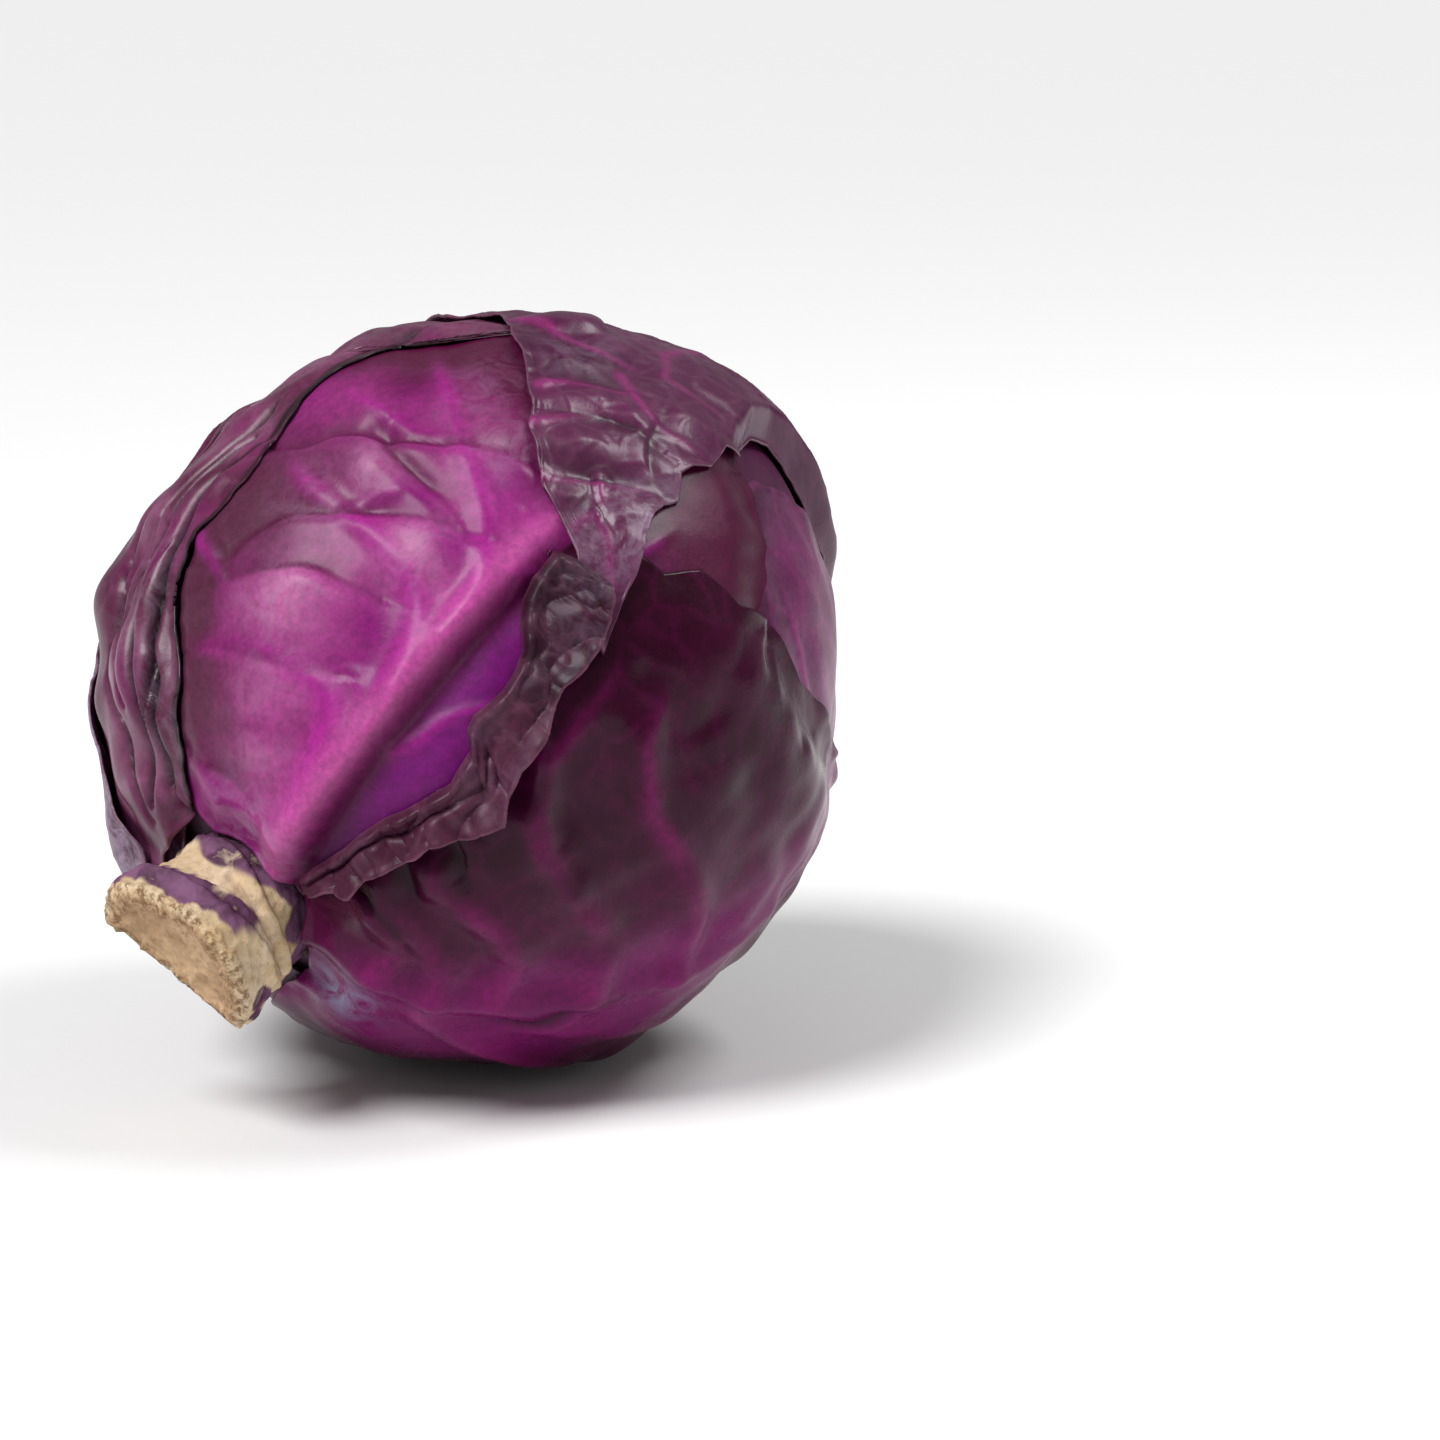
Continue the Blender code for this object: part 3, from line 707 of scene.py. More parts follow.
def plain_leaf(name, top, start, shape, depth, rest_depth, rib_end, skin, seed, divisions=100, more=()):
    """A leaf with a straight rib and arched side veins."""
    rib = ((13, 0), (45, 1), (80, -1), (rib_end, 0))
    veins = [*branching(34, rib_end - 30, 5, 46.0), *more]

    def relief(dirs, close):
        bent = wander(dirs, 0.030, 0.0016, seed)
        height = ridge(bent, start, rib, 0.0020, 0.0060, 0.0006, 0.0022)
        for path in veins:
            height = height + ridge(bent, start, path, 0.0008, 0.0016, 0.0003, 0.0011)
        height = height + blisters(bent, start, [rib, *veins], 0.0011, 0.0060) - 0.0011
        height = height + 0.0005 * ripple(dirs, 0.020, seed + 20) + 0.0002 * ripple(dirs, 0.006, seed + 21)
        return height + 0.0010 * smooth_step(close, 0.88, 1.0) * np.abs(ripple(dirs, 0.009, seed + 22))

    def marks(dirs, close):
        bent = wander(dirs, 0.030, 0.0016, seed)
        threads = net(dirs, 0.0085, seed + 40)
        return {
            "vein": np.maximum(vein_mask(bent, start, [rib, *veins], 0.0016) * 0.8, 0.22 * threads),
            "deep": 0.6 * smooth_step(close, 0.75, 1.0) + 0.4 * ripple(dirs, 0.03, seed + 30),
            "bloom": 0.15 + 0.3 * ripple(dirs, 0.035, seed + 31),
        }

    return wrap_leaf(name, top, shape, depth, rest_depth, relief, marks, skin, (divisions, divisions))


back_skin = leaf_skin("back_leaf_skin", (66, 12, 48), (86, 26, 66), DARK_MARKS)
back_shape = round_leaf((84.0, 178.0), oval((84.0, 178.0), 72.0, 64.0, 48.0), 0.9, 3)
surface = plain_leaf("back_leaf", surface, 178.0, back_shape, 0.0056, 0.0040, 132, back_skin, 3)

RIGHT_VEINS = (
    ((146, -58), (140, -54), (137, -52), (133, -50), (131, -46), (128, -40)),
    ((126, -62), (122, -60), (120, -58), (117, -55), (114, -52), (110, -46)),
    ((178, -42), (172, -38), (168, -32), (163, -29), (158, -25), (155, -20)),
)
right_marks = [("deep", (52, 6, 36)), ("vein", (158, 40, 122))]
right_skin = leaf_skin("right_leaf_skin", (92, 22, 72), (118, 52, 98), right_marks)
right_shape = round_leaf((92.0, 58.0), oval((92.0, 58.0), 80.0, 58.0, 58.0), 0.9, 5)
surface = plain_leaf(
    "right_leaf", surface, 60.0, right_shape, 0.0050, 0.0040, 136, right_skin, 5, 140, RIGHT_VEINS
)

under_skin = leaf_skin("under_leaf_skin", (48, 10, 36), (66, 20, 52), DARK_MARKS)
under_shape = round_leaf((72.0, 142.0), oval((72.0, 142.0), 62.0, 60.0, 56.0), 0.9, 7)
surface = plain_leaf("under_leaf", surface, 142.0, under_shape, 0.0038, 0.0020, 122, under_skin, 7)

upper_skin = leaf_skin("upper_left_leaf_skin", (72, 16, 52), (100, 42, 78), DARK_MARKS)
upper_shape = round_leaf((82.0, -132.0), oval((82.0, -132.0), 72.0, 56.0, 56.0), 0.9, 9)
surface = plain_leaf("upper_left_leaf", surface, -132.0, upper_shape, 0.0032, 0.0020, 126, upper_skin, 9, 110)

# The front leaf.
# The big magenta leaf that faces the viewer. A thick pale rib rises from the stump and fades toward
# the crown, with the blade falling away on its right. Forking veins arch to the left, the blade is
# puckered and creased between them, brown at its left margin, wine at the top and violet at the right.
# Shade is painted into the crease bottoms and beside the rib, and sheen onto the pillow tops.
FRONT_START = -12.0
FRONT_MARGIN = (
    (14, -60), (28, -72), (48, -74), (67, -72), (85, -70), (102, -69), (122, -60), (134, -44),
    (136, -20), (124, 5), (102, 24), (80, 36), (60, 44), (40, 46), (24, 44), (14, 30),
)
FRONT_RIB = ((11, 3), (19, 2), (26, 3), (33, 3), (45, 3.5), (55, 3), (65, 3), (74, 2), (84, 2), (96, 3))
FRONT_VEINS = tuple(
    rounded(vein)
    for vein in (
        (
            (27, 2), (34, 0), (42, -2), (43.5, -6), (43, -11), (42, -16), (39, -20), (36, -24), (32, -27),
            (28, -32),
        ),
        (
            (50, 2), (58, -1), (61, -3), (62, -6), (64, -11), (65, -16), (65, -22), (65, -30), (66, -37),
            (69, -42),
        ),
        (
            (60, 3), (66, 2), (70, 1), (74, -2), (79, -6), (82, -12), (86, -18), (90, -23), (102, -34),
            (112, -40),
        ),
    )
)
FRONT_TWIGS = (
    ((86, -18), (83, -25), (84, -34), (86, -42)),
    ((44, -42), (44, -36), (43, -29)),
    ((65, -22), (70, -20), (74, -17)),
    ((74, 4), (80, 10), (88, 14), (98, 15)),
    ((42, 8), (46, 10), (50, 11), (54, 13), (60, 18)),
)
FRONT_CREASES = tuple(
    (rounded(path), drop)
    for path, drop in (
        (
            (
                (67, -45), (69, -42), (72, -37), (75, -35), (77, -31), (80, -25), (83, -20), (85, -17),
                (87, -13), (90, -2),
            ),
            -0.0022,
        ),
        (((82, -29), (77, -27), (76, -19), (76, -14), (75, -10)), -0.0012),
        (
            (
                (42, -36), (46, -32), (50, -32), (54, -31), (59, -29), (62, -25), (65, -21), (68, -17),
                (71, -12), (75, -3),
            ),
            -0.0015,
        ),
        (((41, -32), (47, -27), (51, -23), (54, -20), (55.5, -17), (55.5, -15), (57, -10)), -0.0013),
        (((45, -6), (40, -15), (37, -21), (34, -25), (30, -28)), 0.0008),
        (((20, -16), (22, -12), (24, -9), (23, -6)), -0.0012),
    )
)
FRONT_VALLEYS = (
    (rounded(((80, -30), (77, -24), (76, -18), (76, -12))), -0.0014, 0.0026),
    (((93, -8), (88, -4), (82, -2)), -0.0008, 0.0030),
    (((60, -9), (54, -6), (47, -4)), -0.0008, 0.0045),
)
FRONT_BUMPS = (
    ((48, -19), 0.0016, 0.0085), ((38, -14), 0.0012, 0.0070), ((63, -28), 0.0012, 0.0070),
    ((73, -24), 0.0012, 0.0050), ((66, -9), 0.0010, 0.0060), ((91, -12), 0.0014, 0.0080),
    ((28, -7), 0.0010, 0.0055), ((44, 15), 0.0014, 0.0080), ((60, 12), 0.0010, 0.0070),
    ((26, -17), -0.0012, 0.0060), ((100, -22), 0.0008, 0.0090),
)
FRONT_DEEP = (
    ((55, -5), 0.0075), ((48, -3), 0.0060), ((73, -15), 0.0045), ((72, -5), 0.0060), ((84, -8), 0.0070),
    ((16, -1), 0.0040), ((22, -10), 0.0030), ((93, -30), 0.0090),
)


def front_relief(dirs, close):
    bent = wander(dirs, 0.022, 0.0005, 51)
    a, b = rib_angles(FRONT_START, dirs)
    height = ridge(bent, FRONT_START, FRONT_RIB, 0.0036, 0.0055, 0.0008, 0.0026)
    for vein in FRONT_VEINS:
        height = height + ridge(bent, FRONT_START, vein, 0.0012, 0.0030, 0.0007, 0.0020)
    for twig in FRONT_TWIGS:
        height = height + ridge(bent, FRONT_START, twig, 0.0007, 0.0018, 0.0004, 0.0013)
    height = height + blisters(dirs, FRONT_START, [FRONT_RIB, *FRONT_VEINS], 0.0016, 0.0100) - 0.0014
    for path, drop in FRONT_CREASES:
        height = height + crease(bent, FRONT_START, path, drop, 0.0013)
    for path, drop, width in FRONT_VALLEYS:
        height = height + ridge(bent, FRONT_START, path, drop, width)
    for at, rise, radius in FRONT_BUMPS:
        height = height + bump(dirs, FRONT_START, at, rise, radius)
    height = height + 0.0004 * ripple(dirs, 0.014, 52) + 0.00016 * ripple(dirs, 0.006, 53)
    fall = 0.0034 * smooth_step(b, 3.2, 7.6) * smooth_step(a, 92.0, 70.0)
    return height - fall


def front_marks(dirs, close):
    bent = wander(dirs, 0.022, 0.0005, 51)
    a, b = rib_angles(FRONT_START, dirs)
    rib = ridge(bent, FRONT_START, FRONT_RIB, 1.0, 0.0050, 0.6, 0.0024)
    veins = vein_mask(bent, FRONT_START, FRONT_VEINS, 0.0022)
    twigs = vein_mask(bent, FRONT_START, FRONT_TWIGS, 0.0013)
    patchy = ripple(dirs, 0.018, 61)
    small = ripple(dirs, 0.008, 62)
    wine = smooth_step(a + 5 * patchy + 2 * small, 80.0, 100.0)
    toward_margin = b + 6 * patchy + 3 * small - 0.25 * np.maximum(40 - a, 0)
    brown = smooth_step(toward_margin, -14.0, -31.0) * smooth_step(a, 92.0, 58.0)
    brown = np.maximum(brown, 0.8 * bump(dirs, FRONT_START, (28, -16), 1.0, 0.0085) + 0.3 * small * (a < 40))
    # Paler on the tops of the raised pillows: painted sheen, with some of the leaf's wax frost.
    pale = np.zeros(len(dirs))
    for at, rise, radius in FRONT_BUMPS:
        if rise > 0:
            pale = np.maximum(pale, bump(dirs, FRONT_START, at, 1.0, radius * 1.1))
    pale = pale * (0.75 + 0.35 * small) * (1 - 0.5 * wine)
    dark = np.zeros(len(dirs))
    for at, radius in FRONT_DEEP:
        dark = np.maximum(dark, bump(dirs, FRONT_START, at, 1.0, radius))
    side = smooth_step(b, 4.6, 8.5) * smooth_step(a, 100.0, 80.0)
    # Painted shade: darker colour in the bottom of each crease and in a line along the foot of the rib's
    # right flank.
    fold = crease_shade(bent, FRONT_START, FRONT_CREASES)
    painted_shadow_beside_rib = np.exp(-(((b - 6.5) / 2.2) ** 2)) * smooth_step(a, 88.0, 74.0)
    by_stump = np.exp(-(((a - 16) / 6) ** 2) - ((b + 2) / 7) ** 2)
    return {
        "pale": np.clip(0.9 * pale, 0, 1) * (1 - side),
        "deep": dark * (0.8 + 0.4 * small),
        "violet": side,
        "brown": brown * (1 - 0.8 * veins) * (1 - 0.4 * pale),
        "wine": wine * (1 - 0.7 * twigs),
        "vein": np.maximum(0.85 * veins, 0.75 * twigs),
        "rib": 0.95 * rib * (1 - side),
        "fold": 0.9 * fold + 0.8 * painted_shadow_beside_rib,
        # The wax colour by the stump is the leaf's bloom; its share on the pillow tops is painted sheen.
        "bloom": 0.9 * by_stump + 0.4 * pale * (1 - side),
    }


front_colours = [
    # pale: painted sheen on the pillow tops, with some wax frost
    ("pale", (178, 96, 148)),
    ("deep", (124, 4, 104)),
    ("violet", (108, 6, 102)),
    ("brown", (82, 32, 58)),
    ("wine", (74, 2, 46)),
    ("vein", (158, 26, 132)),
    ("rib", (184, 78, 148)),
    # fold: painted shade in the creases and beside the rib
    ("fold", (74, 4, 48)),
]
front_skin = leaf_skin(
    "front_leaf_skin", (140, 22, 114), (150, 48, 122), front_colours, (168, 128, 162), 0.42, 0.22
)
front_shape = round_leaf((66.0, -16.0), FRONT_MARGIN, 0.5, 11)
surface = wrap_leaf(
    "front_leaf", surface, front_shape, 0.0006, 0.0020, front_relief, front_marks, front_skin, (216, 216),
)

# The left leaf.
# A dark leaf whose margin lies over the front leaf's left side, gathered into lengthwise pleats with
# deep grooves between them. It makes the head's left edge.
# The pleat crests are painted lighter as highlight and the grooves darker as shade.
LEFT_START = -100.0
LEFT_EDGE = (
    (14, 9), (18, 14), (20, 17), (25, 18), (30, 22), (35, 23), (42, 24), (47, 27), (52, 30), (55, 34),
    (60, 37), (66, 38.5), (75, 39.5), (85, 40), (93, 40.5), (101, 41), (106, 41.5), (111, 43.5), (116, 45.5),
    (121, 47.5), (128, 49.5), (134, 52),
)
LEFT_OUTER_MARGIN = (
    (124, -36), (134, -48), (136, -76), (130, -100), (118, -124), (96, -146), (70, -156), (44, -152),
    (24, -142), (14, -120),
)
LEFT_RIB = ((13, -14), (40, -16), (70, -16), (110, -12))
LEFT_GROOVES = (
    (
        (112, 38), (100, 38.5), (89, 39), (79, 38), (72, 37), (68, 34.5), (64, 31), (60, 28.5), (56, 26.5),
        (51, 24), (46, 22), (42, 20), (38, 18.5), (33, 17.5), (28, 15), (23, 13), (19, 10),
    ),
    (
        (96, 35), (81, 33), (75, 30), (68, 25), (62, 20), (56, 17), (51, 17), (45, 16), (39, 15), (33, 13),
        (22, 8),
    ),
    ((84, 25), (70, 18), (60, 11), (50, 6), (41, 3), (33, 5), (25, 3), (17, 3)),
    ((100, 24), (84, 14), (70, 6), (58, -2), (46, -6), (34, -5), (22, -3)),
    ((92, 4), (78, -1), (64, -9), (50, -12), (36, -10), (24, -8)),
    ((57, 27), (50, 21), (45, 17)),
    ((62, 20), (54, 12), (46, 5)),
    ((36, 18), (30, 14), (24, 8), (19, 5)),
    ((108, 31), (92, 27), (78, 22), (66, 14), (55, 8), (44, 9), (34, 9)),
    ((74, 33), (66, 27), (58, 22), (50, 13), (41, 10)),
)


def angles_off_stalk(start, path):
    """The same points as angles off the stalk and around it."""
    points = rib_point(start, *np.array(path, float).T)
    theta = np.degrees(np.arccos(-points[:, 2]))
    phi = np.degrees(np.arctan2(points[:, 1], points[:, 0]))
    return [(float(t), float(f)) for t, f in zip(theta, phi)]


LEFT_MARGIN = (*angles_off_stalk(LEFT_START, LEFT_EDGE), *LEFT_OUTER_MARGIN)


def left_pleats(dirs):
    """How near the pleated margin, the height of the pleats there, and how deep in a groove."""
    bent = wander(wander(dirs, 0.022, 0.0009, 71), 0.008, 0.0005, 72)
    off = line_distance(dirs, LEFT_START, LEFT_EDGE)[0]
    across = rib_angles(LEFT_START, dirs)[1]
    near = np.exp(-((off / 0.045) ** 3)) * (0.15 + 0.85 * smooth_step(across, -22.0, -4.0))
    nearest = off * 1.2
    for k, groove in enumerate(LEFT_GROOVES):
        apart = line_distance(bent, LEFT_START, groove)[0]
        shallow = 0.0012 * smooth_step(0.25 * ripple(dirs, 0.012, 83 + k) + 0.1 * (k > 2), 0.0, 0.25)
        nearest = np.minimum(nearest, apart + shallow)
    height = 1.0 - np.exp(-nearest / 0.0008)
    height = height * (0.9 + 0.25 * ripple(dirs, 0.012, 74)) * (0.3 + 0.7 * smooth_step(off, 0.001, 0.007))
    return near, near * height, near * np.exp(-((nearest / 0.0011) ** 2))


def left_relief(dirs, close):
    near, pleat, _ = left_pleats(dirs)
    height = 0.0040 * pleat - 0.0020 * near
    height = height + ridge(dirs, LEFT_START, LEFT_RIB, 0.0016, 0.0060, 0.0006, 0.0024)
    height = height + 0.0013 * ripple(dirs, 0.011, 75) + 0.0005 * ripple(dirs, 0.0050, 76)
    return height + 0.0008 * smooth_step(close, 0.93, 1.0) * np.abs(ripple(dirs, 0.010, 77))


def left_marks(dirs, close):
    near, pleat, groove = left_pleats(dirs)
    threads = net(dirs, 0.0075, 78)
    tint = np.clip(0.35 + 1.0 * ripple(dirs, 0.012, 79), 0, 1)
    # The pale colour on the pleat crests is painted highlight (the fine net of veins in it is the leaf's
    # own), and the deep colour in the grooves is painted shade over random darker patches.
    return {
        "pale": 0.9 * pleat * tint + 0.20 * threads,
        "vein": 0.8 * near * np.clip(1.4 * ripple(dirs, 0.010, 80) - 0.35, 0, 1),
        "deep": groove + 0.35 * ripple(dirs, 0.02, 81),
        "bloom": 0.30 * ripple(dirs, 0.03, 82) - 0.05,
    }


# pale: painted highlight on the pleat crests and the fine veins; deep: painted shade in the grooves and
# random dark patches
left_colours = [("pale", (128, 72, 104)), ("vein", (112, 18, 82)), ("deep", (26, 4, 16))]
left_skin = leaf_skin("left_leaf_skin", (76, 20, 52), (98, 38, 70), left_colours, (150, 130, 148), 0.34, 0.30)
left_shape = round_leaf((70.0, -98.0), LEFT_MARGIN, 0.3, 13)
surface = wrap_leaf(
    "left_leaf", surface, left_shape, 0.0010, 0.0020, left_relief, left_marks, left_skin, (200, 210),
    toward=(0.0, 0.26),
)

# The lower right leaf.
# Dark wine with soft magenta veins that leave the bottom rib and arch up to its left margin. The
# blade sags between them, shines along the rib, and has a bluish bloom by the stump.
# Shade is painted into the bottoms of its creases.
LOWER_START = 66.0
FOLD_LINE = (
    (11, -15), (13, -18), (17, -23), (19, -26), (22, -29), (25, -31), (29, -34), (32, -36), (33, -38),
    (35, -41), (34, -44), (35, -46), (38, -48), (41, -50), (44, -53), (46, -56), (46, -60), (47, -63),
    (51, -66), (57, -68), (62, -69.5),
)
LOWER_OUTER_MARGIN = (
    (80, -7), (85, -5), (89, 0), (91, 7), (97, 10), (99, 18), (107, 26), (108, 38), (116, 58),
    (118, 90), (110, 120), (92, 146), (64, 160), (38, 156), (20, 140), (14, 90), (14, 40),
)
LOWER_MARGIN = (*angles_off_stalk(LOWER_START, FOLD_LINE), *LOWER_OUTER_MARGIN)
LOWER_RIB = (
    (12, -5), (16, -5), (21, -4), (25, -3), (31, -2), (37, 0), (45, 1), (53, 2), (63, 4), (74, 6), (90, 8),
)
LOWER_VEINS = (
    ((33, -2), (34, -6), (32, -10), (28, -15), (25, -17), (22, -22)),
    ((41, 0), (44, -7), (42, -13), (36, -18), (32, -21), (30, -27)),
    ((55, 2), (58, -6), (56, -13), (52, -20), (47, -27), (46, -33), (48, -39), (63, -48), (71, -52)),
    ((52, -20), (47, -26), (46, -31), (47, -37), (47, -45)),
    ((70, 6), (73, -8), (70, -20), (66, -28), (68, -38), (80, -46)),
    ((44, 2), (54, 12), (66, 20), (80, 24)),
    ((30, 2), (38, 12), (48, 22), (60, 30)),
    ((24, -4), (27, -9), (26, -13), (22, -18)),
)
LOWER_CREASES = (
    (((15, -14), (18, -17), (22, -17.5), (25, -15), (28, -12)), -0.0018),
    (((27, -24), (29, -21), (30, -18)), 0.0012),
    (((33, -29), (35, -26), (36, -22)), 0.0014),
    (((42, 7), (45, 7), (51, 6), (56, 5), (61, 5)), -0.0012),
)


def lower_relief(dirs, close):
    bent = wander(dirs, 0.022, 0.0006, 91)
    height = ridge(bent, LOWER_START, LOWER_RIB, 0.0022, 0.0040, 0.0012, 0.0034)
    for vein in LOWER_VEINS:
        end_height = 0.0022 if vein[-1][0] < 60 else 0.0004
        height = height + ridge(bent, LOWER_START, vein, 0.0014, 0.0036, end_height, 0.0030)
    for path, drop in LOWER_CREASES:
        height = height + crease(bent, LOWER_START, path, drop, spread=0.0050)
    height = height + blisters(bent, LOWER_START, [LOWER_RIB, *LOWER_VEINS], -0.0010, 0.0050) + 0.0002
    height = height + 0.0011 * ripple(dirs, 0.014, 92) + 0.0004 * ripple(dirs, 0.0055, 93)
    return height + 0.0008 * smooth_step(close, 0.93, 1.0) * np.abs(ripple(dirs, 0.010, 97))


def lower_marks(dirs, close):
    bent = wander(dirs, 0.022, 0.0006, 91)
    a, b = rib_angles(LOWER_START, dirs)
    veins = vein_mask(bent, LOWER_START, LOWER_VEINS, 0.0020)
    veins = veins * np.clip(0.6 + 0.5 * ripple(dirs, 0.010, 96), 0, 1)
    patchy = ripple(dirs, 0.02, 94)
    low = smooth_step(b + 3 * patchy, -10.0, 3.0) * smooth_step(b, 24.0, 12.0)
    # Painted shade in the bottom of each crease.
    fold = crease_shade(bent, LOWER_START, LOWER_CREASES)
    return {
        "deep": 0.8 * smooth_step(b + 6 * patchy, -8.0, -30.0) + 0.2 * patchy,
        "low": low,
        "vein": 0.7 * veins + 0.08 * net(dirs, 0.008, 95),
        "fold": 0.8 * fold,
        "bloom": np.exp(-(((a - 19) / 5) ** 2) - ((b - 5) / 5) ** 2),
    }


# fold: painted shade in the creases
lower_colours = [("deep", (42, 3, 24)), ("low", (110, 8, 86)), ("vein", (132, 18, 98)), ("fold", (20, 2, 9))]
lower_skin = leaf_skin(
    "lower_right_leaf_skin", (62, 4, 40), (76, 10, 54), lower_colours, (130, 126, 158), 0.27, 0.13
)
lower_shape = round_leaf((62.0, 78.0), LOWER_MARGIN, 0.2, 17)
surface = wrap_leaf(
    "lower_right_leaf", surface, lower_shape, 0.0002, 0.0, lower_relief, lower_marks, lower_skin, (200, 200),
    toward=(0.16, -0.16),
)

# The crown leaf.
# It comes over the crown from the back, dark and crinkled by its net of veins, and ends in a torn
# tip that hangs over the front leaf and the folded margin.
# Shade is painted into the bottoms of its creases.
CROWN_START = -160.0
CROWN_MARGINS = (
    (14, -13, 13), (22, -20, 24), (36, -24, 34), (60, -28, 40), (90, -34, 44), (120, -42, 49),
    (150, -44, 54), (176, -41, 57), (188, -37, 57), (198, -27, 57), (206, -12, 56), (212, 3, 56),
    (216, 10, 56), (222, 14, 55.5), (230, 15.5, 55), (234, 15.5, 54.5), (238, 18.6, 53.5),
    (242, 18.6, 51.8), (246, 18.8, 50.4), (250, 21, 49), (253, 21.6, 48), (257, 19, 46.2),
    (260, 20.2, 44.4), (263, 20.4, 43.4), (265, 20, 42.8), (268, 18.8, 39.6), (271, 17, 37),
    (273.5, 15.5, 34.6), (276, 14.6, 28), (278, 13.6, 23.5), (280, 12.4, 21), (282, 11.4, 17.5),
    (283.5, 10.4, 13), (285, 9.6, 10.4),
)
CROWN_RIB = (
    (14, 0), (60, 1), (110, 4), (150, 8), (180, 14), (205, 24), (222, 32), (232, 31), (232.5, 25), (231, 16),
)
CROWN_VEINS = tuple(
    rounded(vein)
    for vein in (
        ((218, 54), (225, 50), (231, 45), (232, 40), (234, 36), (231, 32)),
        ((238, 37), (243, 33), (246, 30), (247, 27), (246, 23), (244, 18.5)),
        ((252, 46), (247, 44), (245, 39), (242, 34), (236, 30)),
        ((265, 43), (260, 41), (255, 38), (251, 35)),
        ((275, 37), (272, 36), (268, 32), (263, 27.5), (260, 24), (258, 19)),
        ((264, 30), (268, 28), (271, 26), (272, 23), (275, 20), (279, 15), (283, 11)),
        ((271, 26), (274, 27), (277, 26)),
        ((180, 14), (188, -2), (196, -16), (200, -28)),
        ((160, 9), (168, 24), (176, 40), (182, 54)),
        ((140, 7), (150, -8), (160, -24), (166, -40)),
        ((110, 4), (122, 20), (134, 36), (142, 50)),
        ((90, 3), (100, -8), (112, -22), (120, -36)),
        ((60, 1), (76, 14), (92, 28), (104, 42)),
    )
)
CROWN_CREASES = tuple(
    (rounded(path), drop)
    for path, drop in (
        (((274, 37), (268, 32), (263, 27.5), (258, 20)), -0.0012),
        (((248, 45), (245, 39), (242, 34)), -0.0010),
        (((257, 42), (252, 36), (250, 31), (251, 26)), 0.0012),
        (((266, 30), (269, 27), (271, 22)), 0.0010),
        (((243, 29), (250, 29), (256, 27), (259, 22)), -0.0010),
    )
)
CROWN_BUMPS = (
    ((249, 32), 0.0009, 0.0050), ((241, 25), 0.0009, 0.0050), ((262, 34), 0.0010, 0.0050),
    ((256, 24), 0.0008, 0.0045), ((268, 24), 0.0007, 0.0035), ((238, 45), 0.0009, 0.0060),
)


def crown_relief(dirs, close):
    bent = wander(dirs, 0.020, 0.0006, 101)
    height = ridge(bent, CROWN_START, CROWN_RIB, 0.0018, 0.0050, 0.0005, 0.0013)
    for vein in CROWN_VEINS:
        height = height + ridge(bent, CROWN_START, vein, 0.0007, 0.0013, 0.0003, 0.0010)
    for path, drop in CROWN_CREASES:
        height = height + crease(bent, CROWN_START, path, drop, spread=0.0045)
    height = height + blisters(bent, CROWN_START, [CROWN_RIB, *CROWN_VEINS], 0.0012, 0.0050) - 0.0004
    for at, rise, radius in CROWN_BUMPS:
        height = height + bump(dirs, CROWN_START, at, rise, radius)
    height = height + 0.0006 * ripple(dirs, 0.011, 102) + 0.0002 * ripple(dirs, 0.0048, 103)
    height = height + 0.00018 * net(dirs, 0.0060, 105)
    return height + 0.0008 * smooth_step(close, 0.90, 1.0) * np.abs(ripple(dirs, 0.008, 104))


def crown_marks(dirs, close):
    bent = wander(dirs, 0.020, 0.0006, 101)
    a = rib_angles(CROWN_START, dirs)[0]
    veins = vein_mask(bent, CROWN_START, [CROWN_RIB, *CROWN_VEINS], 0.0011)
    threads = net(dirs, 0.0060, 105)
    rim = smooth_step(close, 0.978, 0.996)
    patchy = ripple(dirs, 0.022, 106)
    # Painted shade in the bottom of each crease.
    fold = crease_shade(bent, CROWN_START, CROWN_CREASES)
    return {
        "deep": 0.5 + 0.5 * patchy - 0.45 * smooth_step(a, 236.0, 256.0),
        "pale": rim + 0.28 * threads + 0.12 * smooth_step(a, 250.0, 270.0),
        "vein": 0.75 * veins,
        "fold": 0.8 * fold,
        "bloom": 0.30 * ripple(dirs, 0.02, 107) - 0.03 + 0.9 * smooth_step(a, 46.0, 22.0),
    }


crown_colours = [
    # fold: painted shade in the creases
    ("deep", (64, 3, 48)), ("pale", (106, 62, 86)), ("vein", (136, 34, 104)), ("fold", (30, 3, 20)),
]
crown_skin = leaf_skin(
    "crown_leaf_skin", (72, 8, 54), (90, 26, 70), crown_colours, (156, 136, 160), 0.34, 0.36
)
crown_shape = long_leaf(CROWN_START, CROWN_MARGINS)
surface = wrap_leaf(
    "crown_leaf", surface, crown_shape, 0.0002, 0.0, crown_relief, crown_marks, crown_skin, (380, 100),
    cling=0.96, toward=(0.22, 0.0),
)

# The folded margin of the lower right leaf.
# Along the front leaf, that leaf's margin is turned back on itself. The strip shows the blade's grey
# underside. It is wrinkled, pinched in places, rolled at the fold, and its torn free edge lifts.
# Its edges are painted lighter as highlight, and its groove and wrinkle hollows darker as shade.
FREE_LINE = (
    (12, -13), (16, -17), (20, -19), (22, -22), (25, -24), (28, -26), (30, -28), (33, -29), (37, -30),
    (41, -32), (42, -35), (44, -39), (49, -43), (52, -47), (53, -49), (55, -50), (61, -53), (65, -55),
    (68, -57), (71, -60), (73, -63),
)
TURNED_THICKNESS = 0.0007
TURNED_DIVISIONS = (420, 26)


